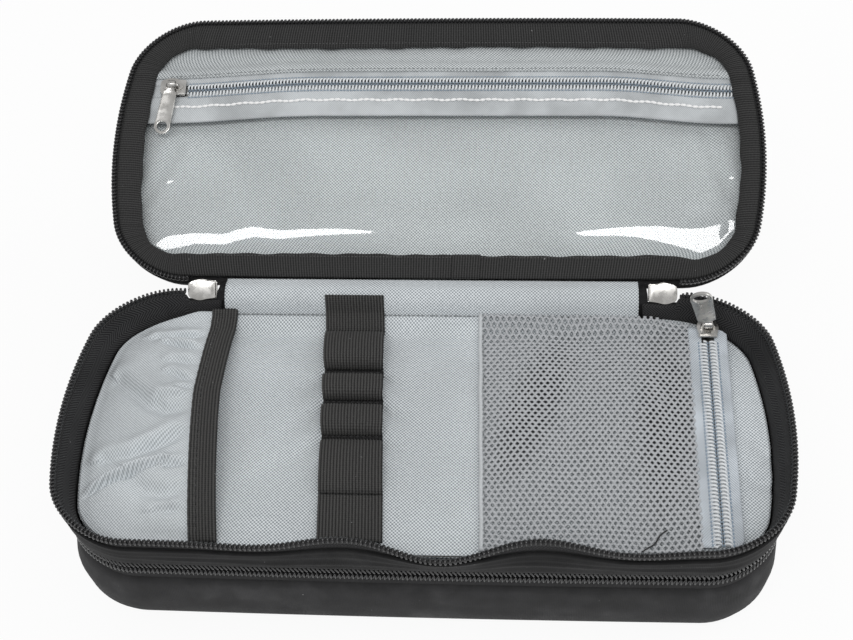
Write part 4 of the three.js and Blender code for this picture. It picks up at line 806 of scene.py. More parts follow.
def make_tray_walls():
    at = stops(1.6)
    around = outline(at, 1, 40)
    front = smooth(-at[:, 3], 0.3, 0.9)
    outer = []
    for share in np.linspace(0, 1, 13):
        z = BAND_FOOT + (BAND_TOP - BAND_FOOT) * share
        inset = 2 - 1.5 * share
        fold = 0.5 * np.exp(-((z - 41.3 - 0.7 * np.sin(around[:, 0] / 21)) / 0.8) ** 2)
        fold += 0.35 * np.exp(-((z - 44.2 + 0.5 * np.sin(around[:, 0] / 16 + 1)) / 0.6) ** 2)
        soft = 0.2 * ripple(around[:, 0] + around[:, 1], z * 4, 30, 8)
        outer.append(np.stack([inset - fold * front - soft * math.sin(math.pi * share), np.full(len(at), z)], 1))
    inner = [np.tile([1.4, BAND_TOP], (len(at), 1)), np.tile([3.6, BAND_FOOT], (len(at), 1))]
    band = swept(at, np.stack(outer + inner, 1), waved=True)
    piece("tray_band_cloth", band, SHADED_BAND_CLOTH, "tray", ["tray_band"])
    side_zip("upper", "tray", SIDE_ZIP + 0.55, 37.8, SIDE_ZIP + 0.3 + 1.3, 50.0, 65.5)

    at = stops(1.2, ZIP_END, ZIP_END)
    top = np.where(at[:, 3] > 0.99, TAPE_TOP - 2.2 * (1 - smooth(np.abs(at[:, 0]), 78.0, 79.6)), TAPE_TOP)
    section = []
    for share in np.linspace(0, 1, 8):
        z = PAD_BOTTOM + (top - PAD_BOTTOM) * share
        section.append(np.stack([wall_inset(z), z], 1))
    for share in np.linspace(1, 0, 8):
        z = PAD_BOTTOM + (top - PAD_BOTTOM) * share
        pucker = 0.22 * math.sin(math.pi * share) * ripple(at[:, 0] + 40 * at[:, 2], at[:, 1] + z, 17, 5)
        section.append(np.stack([wall_inset(z) + 0.8 + pucker, z], 1))
    tape = swept(at, np.stack(section, 1), ring=False, waved=True)
    piece("rim_tape_tray", tape, BLACK_TAPE, "tray", ["main_zip_tape_base"])
    path = outline_path(0.95, COIL_FOOT + 1.05, 79.3, 79.3, waved=True)
    coil = wound(path, 1.36, 0.68, 0.58, 0.84, per_turn=14)
    piece("rim_coil_tray", coil, BLACK_COIL, "tray", ["main_zip_coil_base"])
    core = rounded([(0.8, TAPE_TOP - 0.1), (0.8, 51.0), (1.5, 51.0), (1.5, TAPE_TOP - 0.1)], 0.3, 2)
    core = swept(stops(1.2, 79.4, 79.4), core, ring=False, waved=True)
    piece("rim_core_tray", core, BLACK_THREAD, "tray")


def cord(path, width):
    """A thread of one thickness along a path."""
    rows = path.points[:, None] + width / 2 * ring_round(unit(path.out), unit(path.up), 7)
    return Shape().tube(rows, path.far)


def disc(inset, bottom, top_at, rings, step=2.6, turn_up=0.0):
    """A flat cushion inside the outline: a rim, then rings towards the middle on a given top. Its back edge can
    reach further back."""
    at = stops(step)
    edge = outline(at, inset, 0)
    rows = [np.column_stack([edge[:, :2] * 0.4, np.full(len(at), bottom)])]
    rows.append(np.column_stack([edge[:, :2] * 0.995, np.full(len(at), bottom)]))
    for share in rings:
        xy = edge[:, :2] * share
        xy[:, 1] += turn_up * smooth(xy[:, 1], 38, 44.1) * smooth(np.abs(xy[:, 0]), 98, 74)
        rows.append(np.column_stack([xy, top_at(xy[:, 0], xy[:, 1])]))
    rows = np.stack(rows, 1)
    n, m = rows.shape[:2]
    shape = Shape().grid(rows, np.arange(n + 1), np.arange(m), wrap_u=True)
    shape.faces += [list(range(0, n * m, m)), list(range(m - 1, n * m, m))]
    return shape.lie_flat()


def loop_x(y):
    return -21.5 - 0.061 * y


def make_tray_floor():
    def top(x, y):
        z = floor_top(x, y) + 0.12 * ripple(x, y, 38, 11)
        for side, strength in ((-1, 1.15), (1, 0.85)):
            out = side * (x - loop_x(y)) - 9.3
            away = np.clip(out, 0, None)
            pucker = np.cos(TAU * (y - 7.3 + 0.75 * away) / 12.7) + 0.3
            near = np.exp(-away / 4.4) * smooth(out, -3, 0)
            z = z - strength * near * pucker * smooth(np.abs(y + 0.75 * away - 7), 27, 12)
        dent = np.exp(-(((x - 97.8) * 0.83 + (y + 0.4) * 0.55) / 2.0) ** 2) * np.exp(-((y + 4) / 9) ** 2)
        dent = dent + np.exp(-(((x - 98.5) * 0.4 + (y + 16.5) * 0.9) / 1.8) ** 2) * smooth(x, 93, 97)
        return z - 0.15 - 0.55 * dent * smooth(x, 90, 94)

    rings = np.concatenate([[1.0], np.linspace(0.992, 0.02, 64)])
    pad = disc(PAD_INSET, PAD_BOTTOM, top, rings, 1.4, turn_up=0.8)
    piece("tray_floor_cloth", pad, FLOOR_LINING, "tray", ["tray_floor_pad"])
    under = disc(6.4, TRAY_BOTTOM, lambda x, y: TRAY_BOTTOM + 0.45 + 0.1 * ripple(x, y, 25, 2),
                 np.linspace(1, 0.05, 20), 4)
    made = piece("tray_underside_cloth", under, LINING, "tray", ["tray_underside_lining"])


# Gathered pocket.
def mouth_x(y):
    return -70.6 + 5.4 * (np.clip(9 - np.asarray(y, float), 0, None) / 50.5) ** 1.15


def mouth_lift(y):
    v = np.clip((41.5 - np.asarray(y, float)) / 83, 0, 1)
    return 6 * np.sin(math.pi * v) ** 0.7


def left_edge(y):
    return edge_x(np.minimum(y, 41.4), -1, 6.2) + 4.5 * np.clip(y - 41.4, 0, None)


# Folds of the gathered cloth: depth and width of each valley, the ridge beside it, and the line it follows.
FOLDS = (
    (1.5, 2.4, 1.3, ((-96.6, 15.4), (-89.7, 9.1), (-83.7, 4.0), (-78.8, 1.6), (-74.4, 1.8), (-70.5, 2.8))),
    (0.9, 1.2, 0.9, ((-87.9, 34.1), (-81.5, 33.9), (-76.2, 33.8), (-71.2, 34.5))),
    (1.1, 1.0, 1.0, ((-83.7, 30.9), (-78.2, 28.7), (-71.8, 27.4))),
    (0.9, 1.3, 0.7, ((-81.1, 5.5), (-76.1, 5.7), (-70.7, 6.1))),
    (1.3, 1.8, 1.2, ((-94.7, -15.1), (-86.6, -14.7), (-78.6, -11.2), (-73.6, -8.1), (-68.9, -5.7))),
    (1.5, 0.75, 1.5, ((-98.9, -26.6), (-92.9, -22.9), (-85.8, -20.6), (-76.1, -17.4))),
    (1.2, 1.0, 0.9, ((-74.9, -18.6), (-70.3, -17.6), (-66.6, -16.6))),
    (1.1, 2.4, 0.7, ((-85.5, -21.7), (-80.3, -26.6), (-73.6, -28.1), (-66.6, -26.1))),
    (0.8, 1.1, 0.7, ((-79.8, 16.5), (-75.5, 14.4), (-71.0, 13.0))),
    (0.7, 1.3, 0.6, ((-80.0, 22.0), (-75.5, 21.2), (-71.0, 20.6))),
    (0.7, 1.2, 0.6, ((-76.0, -33.0), (-71.0, -32.6), (-66.0, -32.2))),
    (0.8, 0.9, 0.6, ((-76.0, 9.4), (-73.0, 9.6), (-70.0, 9.8))),
)


def from_line(x, y, line):
    """Distance from a bent line, its sign (positive on the left of the way it runs), and the share along it."""
    best = np.full(np.broadcast(x, y).shape, 1e9)
    sign, along = np.ones(best.shape), np.zeros(best.shape)
    for k in range(len(line) - 1):
        (ax, ay), (bx, by) = line[k], line[k + 1]
        dx, dy = bx - ax, by - ay
        t = np.clip(((x - ax) * dx + (y - ay) * dy) / (dx * dx + dy * dy), 0, 1)
        far = np.hypot(x - ax - t * dx, y - ay - t * dy)
        near = far < best
        best = np.where(near, far, best)
        sign = np.where(near, np.sign(dx * (y - ay) - dy * (x - ax)), sign)
        along = np.where(near, (k + t) / (len(line) - 1), along)
    return best, sign, along


def pocket_height(x, y):
    left, right = left_edge(y), mouth_x(y)
    u = np.clip((x - left) / (right - left), 0, 1)
    away = right - x
    tucked = mouth_lift(y) * u**1.25
    lift = tucked + 2.2 * np.sin(math.pi * u) * smooth(np.abs(y), 42, 25)
    for depth, width, ridge, line in FOLDS:
        far, side, along = from_line(x, y, line)
        signed = far * side
        strong = 0.45 + 0.55 * np.sin(math.pi * np.clip(along, 0.1, 0.9))
        valley = -depth * np.exp(-((signed / width) ** 2))
        hill = ridge * np.exp(-(((signed - 1.9 * width) / (1.7 * width)) ** 2))
        lift = lift + 1.8 * (valley + hill) * strong
    lift = lift + 0.3 * ripple(x, y, 22, 21) * smooth(u, 0, 0.4)
    lift = np.clip(lift, 0.1 * smooth(u, 0, 0.2), None)
    lift = tucked + (lift - tucked) * smooth(away, -0.5, 5.0) * smooth(u, 0, 0.12)
    edge = np.where(y > 0, smooth(y, 44.2, 39), smooth(-y, 41.4, 37))
    return floor_top(x, y) + 0.35 + lift * (0.25 + 0.75 * edge)


def make_pocket():
    y = np.linspace(44.2, -41.4, 220)
    share = np.linspace(0, 1, 110)
    left, right = left_edge(y), mouth_x(y) + 1.5
    x = left[None] + (right - left)[None] * share[:, None]
    z = pocket_height(x, np.broadcast_to(y, x.shape))
    shape = layers(x, y, z + 0.55, z, share, y).lie_flat(1.1)
    made = piece("pocket_cloth", shape, POCKET_LINING, "tray", ["elastic_pocket_panel"])

    wide, ribs = 8.4, 61
    y = np.linspace(44.4, -41.5, 150)
    v = np.linspace(0, wide, ribs)
    x, yy = mouth_x(y)[:, None] - 0.4 + v[None], y[:, None]
    z = floor_top(x, yy) + 0.75 + mouth_lift(yy)
    hem = smooth(v, 2.6, 3.0)
    ridge = 0.16 * np.cos(TAU * v / 0.92) * hem + 0.35 * hem * np.sin(math.pi * np.clip((v - 2.8) / 5.6, 0, 1)) ** 0.5
    pinch = 0.18 * np.sin(TAU * y / 3.1)[:, None] * (1 - hem)[None]
    worn = -0.5 * (1 - np.clip(np.minimum(v, wide - v) / 0.5, 0, 1)) ** 2
    shape = layers(x, yy, z + 1.0 + ridge + pinch + worn, z - 0.1, -y, v)
    piece("pocket_elastic", shape, ELASTIC, "tray", ["elastic_pocket_binding"])
    row = np.column_stack([mouth_x(y) + 2.1, y, z[:, 18] + 1.0])
    piece("pocket_stitches", grains(line_path(row), 2.2, 1.5, 0.6, 0.5, jitter=0.1), BLACK_THREAD, "tray")


# Elastic with loops.
def curve_through(points, steps):
    """A smooth line through points."""
    p = np.asarray(points, float)
    p = np.concatenate([2 * p[:1] - p[1:2], p, 2 * p[-1:] - p[-2:-1]])
    made = []
    for i in range(1, len(p) - 2):
        for k in range(steps):
            t = k / steps
            a, b, c, d = p[i - 1:i + 3]
            made.append(0.5 * (2 * b + (c - a) * t + (2 * a - 5 * b + 4 * c - d) * t**2
                               + (3 * b - a - 3 * c + d) * t**3))
    return np.array(made + [p[-2]])


def make_loops():
    seams = BACK - np.array([11.2, 26.4, 38.4, 51.8, 73.3])
    line = [(47.6, 49.5), (46.9, 48.7), (46.2, 47.7), (45.6, 46.6), (45.0, 45.4), (44.4, 44.5), (43.0, 43.8),
            (41.9, 43.3), (40.4, 42.6), (39.0, 42.0)]

    def sewn(y):
        return float(floor_top(loop_x(y), y)) + 0.35

    # Length sewn flat after each seam, then the height of each loop and how full its back and its front are.
    held = (0, 3.6, 3.3, 2.8, 0)
    for i, (rise, rear, fore) in enumerate(((4.6, 1.9, 4.5), (3.9, 3.6, 4.5), (3.5, 3.6, 4.0), (1.9, 2.6, 2.2))):
        start, stop = seams[i] - held[i], seams[i + 1]
        for t in 0.5 - 0.5 * np.cos(math.pi * np.arange(27) / 26):
            full = max(0.0, 1 - abs(1 - 2 * t) ** (rear if t < 0.5 else fore)) ** 0.6
            y = start + (stop - start) * t - 1.0 * full * (i < 3)
            line.append((y, sewn(y) + rise * full))
    for t in np.linspace(0, 1, 14)[1:]:
        y = seams[-1] + (-40.1 - seams[-1]) * t
        line.append((y, sewn(y)))
    line = np.array(line)
    ahead = unit(np.gradient(line, axis=0))
    across = np.stack([ahead[:, 1], -ahead[:, 0]], 1)
    wide, ribs = 19.0, 115
    v = np.linspace(0, wide, ribs)
    ridge = 0.15 * np.cos(TAU * v / 0.95)
    curl = -0.35 * (np.abs(v / wide - 0.5) * 2) ** 8
    top, bottom = [], []
    for (y, z), way in zip(line, across):
        tight = min(max(0, y - s, s - h - y) for s, h in zip(seams, held)) + 3 * max(0, z - sewn(y) - 0.5)
        drawn = 1 - 0.04 * math.exp(-((float(np.min(np.abs(seams[1:4] - 1.2 - y))) / 2.0) ** 2))
        x = loop_x(y) + (v - wide / 2) * drawn
        thick = 1.0 - 0.5 * math.exp(-((tight / 0.7) ** 2))
        lift = thick + ridge + curl
        top.append(np.stack([x, y + way[0] * lift, z + way[1] * lift], 1))
        bottom.append(np.stack([x, np.full(ribs, y), np.full(ribs, z)], 1))
    far = lengths(np.column_stack([np.zeros(len(line)), line]))
    shape = Shape().slab(np.array(top), np.array(bottom), far, v)
    piece("loop_elastic", shape, ELASTIC, "tray", ["elastic_loop_band"])
    rows = Shape()
    for k, y in enumerate(seams - np.array(held) / 2):
        x = loop_x(y) - 8.8 + np.linspace(0, 17.6, 12)
        rows.join(grains(line_path(points_at(x, y, sewn(y) + 0.66)), 1.9, 1.5, 0.5, 0.4, jitter=0.1, seed=k))
    piece("loop_stitches", rows, BLACK_THREAD, "tray")
    # Painted shade: dark elastic laid over the flat stretches between the loops, where the loops shade them.
    shade_flats = Shape()
    beside = np.linspace(-9, 9, 109)
    for s, h in zip(seams[1:4], held[1:4]):
        y = np.linspace(s - 0.2, s - h + 0.5, 6)
        z = np.array([[sewn(k)] for k in y]) + 0.62 + 0.1 * np.cos(TAU * beside / 0.95)
        yy = y[:, None]
        shade_flats.join(layers(loop_x(yy) + beside, yy, z, z - 0.4, y, beside + 9))
    piece("loop_flats_painted_shade", shade_flats, ELASTIC_IN_SHADE, "tray")


# Net pocket.
def mesh_zip_x(y):
    return 87.4 + 0.022 * np.asarray(y, float)


def mesh_left(y):
    return MESH_LEFT - 0.2 + 0.028 * (42 - np.asarray(y, float))


def net_height(x, y):
    left, right = mesh_left(y), mesh_zip_x(y) - 6.0
    u = np.clip((x - left) / (right - left), 0, 1)
    v = np.clip((42 - y) / 84, 0, 1)
    floor = floor_top(x, y) + 0.45
    swell = 1.6 * np.sin(math.pi * u) * np.sin(math.pi * v)
    swell = swell + 0.35 * ripple(x, y, 30, 17) * np.sin(math.pi * u) * np.sin(math.pi * v)
    return floor + swell + (MESH_ZIP_LEVEL - floor) * u**3


def make_net():
    """A knitted net: six-sided gaps with thick thread between them."""
    pitch, tall = 1.95, 1.45
    columns, lines = int(66 / pitch), int(84 / tall)
    shape = Shape()
    ring = TAU * np.arange(5) / 5

    def place(x, y):
        left, right = mesh_left(y), mesh_zip_x(y) - 5.8
        x = left + (x - MESH_LEFT) * (right - left) / NET_WIDE
        x2 = x + 0.45 * ripple(x, y, 21, 31) * np.sin(math.pi * np.clip((x - 17) / 64, 0, 1))
        y2 = np.clip(y + 0.45 * ripple(x, y, 25, 32), -42.2, 42.2)
        y2 = y2 + 2.2 * smooth(y2, 34, 42) * smooth(x2, 80, 70)
        return np.stack([x2, y2, net_height(x2, y2) + 0.25], -1)

    knot = tall * 0.22
    threads = []
    for j in range(lines + 1):
        y = -42 + 84 * j / lines
        for i in range(columns + 1):
            stop = i + 0.5 * (j % 2)
            left, x, right = (MESH_LEFT + NET_WIDE * (stop + k) / (columns + 0.5) for k in (-0.5, 0, 0.5))
            threads.append(((x, y - knot), (x, y + knot)))
            if j < lines:
                sides = [side for side in (left, right) if MESH_LEFT - 0.1 <= side <= MESH_LEFT + NET_WIDE + 0.2]
                threads += [((x, y + knot), (side, y + tall - knot)) for side in sides]
    threads = np.array(threads)
    a, b = (place(threads[:, k, 0], threads[:, k, 1]) for k in (0, 1))
    middle = (a + b) / 2
    way = unit(b - a)
    side = unit(np.cross(way, [0, 0, 1.0]))
    up = np.cross(side, way)
    rng = np.random.default_rng(5)
    for k in range(len(a)):
        thick = 0.5 * rng.uniform(0.8, 1.2)
        rows = []
        for p, s in ((a[k] - way[k] * 0.05, 1.1), (middle[k] + up[k] * 0.06, 0.85), (b[k] + way[k] * 0.05, 1.1)):
            rows.append(p + s * thick * (np.outer(np.cos(ring), side[k]) + 0.25 * np.outer(np.sin(ring), up[k])))
        shape.tube(rows)
    made = piece("pocket_net", shape, NET, "tray", ["mesh_panel"])
    loose = np.array([(71.2, -35.6), (69.2, -37.1), (68.2, -38.7), (67.2, -40.1), (65.5, -41.2), (63.9, -42.3)])
    loose = np.column_stack([loose, net_height(loose[:, 0], loose[:, 1]) + np.array([1.0, 0.9, 0.8, 0.9, 1.0, 1.1])])
    piece("loose_thread", cord(line_path(curve_through(loose, 5)), 0.45), BLACK_THREAD, "tray")

    y = np.linspace(44.4, -42, 90)
    v = np.linspace(-1.1, 0.3, 9)
    yy = y[:, None]
    x = mesh_left(yy) + v + 0.08 * np.sin(yy / 3)
    z = floor_top(x, yy) + 0.2
    hump = 0.8 * np.sqrt(np.clip(1 - ((v + 0.4) / 0.72) ** 2, 0, 1))
    shape = layers(x, yy, z + 0.15 + hump, z - 0.1, y, v)
    piece("net_hem", shape, PALE_EDGE, "tray")
    x = mesh_left(y) + 0.5
    row = points_at(x, y, net_height(x, y) + 0.75)
    piece("net_stitches", grains(line_path(row), 1.7, 1.0, 0.5, 0.4, jitter=0.08), GREY_THREAD, "tray")


def net_tape(from_x, to_x):
    """A flat woven tape along the net's zip, cut off where the wall begins."""
    y = np.linspace(40.4, -41, 60)
    d = np.linspace(from_x, to_x, 9)
    yy = y[:, None]
    x = np.minimum(mesh_zip_x(yy) + d, edge_x(yy, 1, 6.2))
    z = MESH_ZIP_LEVEL + 0.12 * ripple(x, yy, 16, 41)
    return layers(x, yy, z + 0.3, z - 0.3, y, d)


def make_mesh_zip():
    for side, sign in (("left", -1), ("right", 1)):
        tape = net_tape(*sorted((sign * 2.0, sign * 6.0)))
        piece(f"net_tape_{side}", tape, GREY_TAPE, "tray", [f"mesh_zip_tape_{side}"])
        y = np.linspace(34.4, -41, 80)
        line = points_at(mesh_zip_x(y) + sign * 1.5, y, MESH_ZIP_LEVEL)
        coil = wound(line_path(line), 1.3, 0.6, 1.02, 0.74, phase=0.25 * (1 + sign), per_turn=12)
        piece(f"net_coil_{side}", coil, PALE_COIL, "tray", [f"mesh_zip_coil_{side}"])
        sewn = Shape()
        for offset, size in ((3.0, 0.55), (0.3, 0.45)):
            row = points_at(mesh_zip_x(y) + sign * offset, y, MESH_ZIP_LEVEL + 0.42)
            sewn.join(grains(line_path(row), 1.3, 0.95, size, 0.45))
        piece(f"net_coil_stitches_{side}", sewn, BLUE_THREAD, "tray")


# Sliders and pulls, as plates with rounded edges.
def flat_plate(edge, holes, thickness, bevel=0.2, rim=None):
    """A plate cut to an edge with holes, its corners rounded. A rim leaves a raised border on both faces."""
    made = bmesh.new()
    sides = []
    for loop in [edge, *holes]:
        points = [made.verts.new((x, y, -thickness / 2)) for x, y in loop]
        sides += [made.edges.new((points[i], points[(i + 1) % len(points)])) for i in range(len(points))]
    bmesh.ops.triangle_fill(made, edges=sides, use_beauty=True)
    low = list(made.faces)
    high = bmesh.ops.extrude_face_region(made, geom=low)["geom"]
    bmesh.ops.translate(made, vec=(0, 0, thickness), verts=[g for g in high if isinstance(g, bmesh.types.BMVert)])
    bmesh.ops.recalc_face_normals(made, faces=made.faces)
    sharp = [e for e in made.edges if len(e.link_faces) == 2 and e.calc_face_angle(0) > 1.0]
    bmesh.ops.bevel(made, geom=sharp, offset=bevel, segments=2, profile=0.6, affect="EDGES")
    if rim:
        for sign in (1, -1):
            faces = [f for f in made.faces if f.normal.z * sign > 0.99 and f.calc_area() > 0.02
                     and abs(f.calc_center_median().z - sign * thickness / 2) < 1e-4]
            bmesh.ops.inset_region(made, faces=faces, thickness=rim, depth=0.0, use_even_offset=True)
            inner = [f for f in faces if f.is_valid]
            for vert in {v for f in inner for v in f.verts}:
                vert.co.z -= sign * 0.22
    made.verts.ensure_lookup_table()
    points = np.array([v.co for v in made.verts])
    faces = [[v.index for v in f.verts] for f in made.faces]
    made.free()
    return Shape().add(points, faces, points[:, :2])


def bend(points, steps=8):
    """An edge from corners: x, y and the radius that rounds the corner, or 0."""
    corners = np.array([point[:2] for point in points], float)
    made = []
    for i, p in enumerate(corners):
        radius = points[i][2]
        after = corners[(i + 1) % len(corners)]
        made += round_off(corners[i - 1], p, after, radius, 0.48, steps) if radius else [p]
    return [tuple(p) for p in made]


def oval(cx, cy, rx, ry, count=20):
    return [(cx + rx * math.cos(TAU * k / count), cy + ry * math.sin(TAU * k / count)) for k in range(count)]


def strap(line, width, thick, across):
    """A flat strap along a bent line, with rounded edges."""
    line = np.asarray(line, float)
    way = unit(np.gradient(line, axis=0))
    side = np.tile(np.asarray(across, float), (len(line), 1))
    up = unit(np.cross(side, way))
    angle = TAU * np.arange(12) / 12
    c, s = np.cos(angle), np.sin(angle)
    sx = np.sign(c) * np.abs(c) ** 0.5 * width / 2
    sy = np.sign(s) * np.abs(s) ** 0.5 * thick / 2
    rows = line[:, None] + side[:, None] * sx[None, :, None] + up[:, None] * sy[None, :, None]
    return Shape().tube(rows)


def slider_shape(length, across, dome=False, wide=3.1):
    end = length / 2
    half = [(-end, 0.73, 0.3), (-1.8, 0.81, 1.2), (0.7, 1.0, 1.6), (end - 0.1, 0.68, 2.4)]
    edge = bend([(x, -wide * k, r) for x, k, r in half] + [(end, 0, 0.6)]
                + [(x, wide * k, r) for x, k, r in half[::-1]], 6)
    shape = Shape()
    plate = flat_plate(edge, [], 0.8, 0.24)
    shape.join(plate, Matrix.Translation((0, 0, 1.6)))
    shape.join(plate, Matrix.Translation((0, 0, -1.6)))
    web = flat_plate(bend([(2.2, -0.06, 0), (3.4, -0.06, 0), (3.4, 0.06, 0), (2.2, 0.06, 0)]), [], 2.6, 0.02)
    shape.join(web)
    for sign in (-1, 1):
        flange = bend([(-end + 0.3, 0, 0.2), (0.4, 0, 0.2), (0.4, 0.3, 0.15), (-end + 0.3, 0.35, 0.15)])
        flange = flat_plate(flange, [], 0.45, 0.1)
        turn = Matrix.Translation((0, sign * (wide * 0.74), 1.35)) @ Matrix.Rotation(-math.pi / 2, 4, "X")
        shape.join(flange, turn)
    reach, top = 2.0, BAIL_UP
    arch = [(-reach - 0.1, 0, 1.7)]
    arch += [(-reach * math.cos(a) ** 0.6 if a < math.pi / 2 else reach * (-math.cos(a)) ** 0.6, 0,
              1.9 + (top - 1.9) * math.sin(a) ** 0.55) for a in np.linspace(0.02, math.pi - 0.02, 22)]
    arch += [(reach + 0.1, 0, 1.7)]
    bail = strap(arch, 1.05, 0.8, (0, 1, 0))
    shape.join(bail, Matrix.Rotation(math.pi / 2, 4, "Z") if across else None)
    if dome:
        for sign in (-1, 1):
            foot = flat_plate(oval(sign * 2.6, 0, 0.95, 1.2), [], 0.7, 0.2)
            shape.join(foot, Matrix.Translation((0, 0, 2.2)))
    return shape


def pull_shape(length, lean, tip=5.6, hole=(1.75, 1.75), neck=2.6):
    """A pull: a loop round the bail along X, and a bordered tongue along -Y with a hole at its tip."""
    ring = [(0.0, 1.12 * math.sin(a), 1.12 * math.cos(a)) for a in np.linspace(0, TAU, 25)]
    shape = Shape()
    loop = strap(ring, neck, 0.6, (1, 0, 0))
    shape.join(loop)
    half = tip / 2
    left = [(-neck / 2, -1.2), (-neck / 2, -1.8), (-neck / 2 - 0.35, -2.3), (-half * 0.82, -2.9),
            (-half * 0.86, -3.8), (-half * 0.95, -length + half + 2)]
    edge = left + [(half * math.cos(a), -length + half * (1 + math.sin(a))) for a in np.linspace(math.pi, TAU, 19)]
    edge += [(-x, y) for x, y in left[::-1]]
    opening = oval(0, -length + hole[1] + 0.95, *hole, 24)
    blade = flat_plate(edge, [opening], 1.1, 0.2, rim=0.42)
    shape.join(blade, Matrix.Rotation(lean, 4, "Z"))
    return shape


def frame_at(place, x_way, z_way):
    x, z = Vector(x_way).normalized(), Vector(z_way).normalized()
    y = z.cross(x)
    return Matrix.Translation(Vector(place)) @ Matrix((x, y, z)).transposed().to_4x4()


def hung(pivot, way):
    way = Vector(way)
    return frame_at(pivot, (1, 0, 0), Vector((1, 0, 0)).cross(-way))


def metal(name, shape, body, node, turned):
    piece(name, shape, NICKEL, body, [node], crisp=True, turned=turned)


def make_metal():
    tilt = math.radians(45)
    outward = Vector((0, math.cos(tilt), -math.sin(tilt)))
    for side, sign in (("left", -1), ("right", 1)):
        centre = Vector((sign * 74.5, BACK - 0.3, RIM - 1.9)) + outward * 2.0
        slider = slider_shape(9, False, wide=3.6)
        metal(f"rim_slider_{side}", slider, "tray", f"main_zip_slider_{side}",
              frame_at(centre, (sign, 0, 0), outward))
        metal(f"rim_pull_{side}", pull_shape(17, 0), f"main_pull_{side}", f"main_zip_pull_{side}",
              hung(centre + outward * BAIL_UP, DOWN))
    metal("side_slider", slider_shape(9, False), "lower_case", "lower_zip_slider",
          frame_at((SIDE_PULL_X, 45.29, SIDE_ZIP), (-1, 0, 0), (0, 1, 0)))
    metal("side_pull", pull_shape(17, 0), "lower_pull", "lower_zip_pull", hung((SIDE_PULL_X, 49.04, SIDE_ZIP), DOWN))
    centre = Vector((88.25, 38.77, MESH_ZIP_LEVEL))
    metal("net_slider", slider_shape(7, True, wide=3.7), "mesh_slider", "mesh_zip_slider",
          frame_at(centre, (0.022, 1, 0), (0, 0, 1)))
    forward = math.radians(8)
    metal("net_pull", pull_shape(18, math.radians(-15), 6.8, (2.5, 1.9)), "mesh_pull", "mesh_zip_pull",
          hung(centre + Vector((0, 0, BAIL_UP)), (0, -math.sin(forward), math.cos(forward))))
    place = LID.inverted() @ Vector((-91.46, 120.99, 73.85))
    metal("window_slider", slider_shape(9, False, dome=True, wide=3.6), "pvc_slider", "pvc_zip_slider",
          LID @ frame_at(place, (-1, 0, 0), DOWN))
    dip = math.radians(9)
    metal("window_pull", pull_shape(18, math.radians(-10)), "pvc_pull", "pvc_zip_pull",
          LID @ hung(place + Vector(DOWN) * BAIL_UP, (0, math.cos(dip), math.sin(dip))))


# Cloth over the hinges.
def open_lid_point(inset, height):
    return (LID @ Vector((0, BACK - inset, RIM + height)))[1:]


def cloth_strip(line, thickness, half, seed, sway=0.25, columns=120):
    line = np.asarray(line, float)
    x = np.linspace(-half, half, columns)
    ahead = unit(np.gradient(line, axis=0))
    back = np.stack([ahead[:, 1], -ahead[:, 0]], 1)
    far = lengths(np.column_stack([np.zeros(len(line)), line]))
    soft = sway * ripple(x[None], far[:, None] * 1.4, 26, seed) * np.sin(math.pi * far / far[-1])[:, None]

    def layer(depth):
        d = depth + soft
        y = line[:, :1] + back[:, :1] * d
        z = line[:, 1:] + back[:, 1:] * d
        return np.stack([np.broadcast_to(x, y.shape), y, z], 2)

    return Shape().slab(layer(0), layer(thickness), far, x)


def make_hinges():
    end = open_lid_point(1.4, 1.3)
    line = curve_through([(44.05, 42.7), (44.4, 44.2), (45.2, 46.2), (46.2, 47.8), (47.8, 49.1), (50.6, 50), end], 6)
    lining = piece("hinge_cloth", cloth_strip(line, 0.6, 66.8, 51), LINING, None, ["hinge_lining"])
    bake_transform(lining)
    end = open_lid_point(0.8 + 1.25, 4.9)
    line = curve_through([(46.9, 47.2), (48.05, 47.8), (50.2, 47.8), (53.4, 46.5), end], 6)
    outer = piece("hinge_tape", cloth_strip(line, 0.65, 69.8, 52), PLAIN_TAPE, None,
                  ["lid_hinge_strip"])
    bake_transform(outer)
    line = curve_through([(45.1, 37.8), (45.75, 35.5), (45.75, 31.2), (45.15, 27.1)], 6)
    low = piece("side_hinge_tape", cloth_strip(line, 0.65, 49, 53, 0.15), PLAIN_TAPE, None,
                ["lower_hinge_strip"])
    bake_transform(low)
    x = np.linspace(-66, 66, 120)
    row = points_at(x, 44.0, floor_top(x, 44.0) + 0.05)
    piece("hinge_stitches", grains(line_path(row, (0, -0.4, 0.9)), 1.5, 0.9, 0.5, 0.4, jitter=0.06), GREY_THREAD,
          "tray")


# Lid.
def zip_bow(x):
    """How far the window's zip lies beyond its straight line, away from the hinge: it droops towards its ends."""
    return 1.9 - 2.9 * smooth(-x, 40, 96) - 3.0 * smooth(x, 55, 98)


def by_window_zip(x, beyond, proud):
    """A path along the window's zip, beyond it on the side away from the hinge and proud of its chain."""
    return line_path(points_at(x, BACK - ZIP_UP - zip_bow(x) - beyond, CHAIN_LEVEL - proud), DOWN)


def lid_patch(inset, low, high, z_at, thickness, step, bow=(0.0, 0.0)):
    """A sheet inside the outline, between two distances from the hinge edge. Its lower and upper edges can follow the
    zip."""
    rows = max(3, int((high - low) / step))
    v = np.linspace(low, high, rows)
    most = outline(stops(0.8), inset, 0)[:, 1].max() - 1e-3
    y = np.clip(BACK - v, -most, most)[:, None]
    left, right = (edge_x(y, side, inset, 0.8, 0) for side in (-1, 1))
    share = np.linspace(0, 1, int(200 / step))
    x = left + (right - left) * share
    y = y - np.linspace(*bow, rows)[:, None] * zip_bow(x)
    z = z_at(x, BACK - y)
    return layers(x, y, z, z + thickness, v, share * 200)


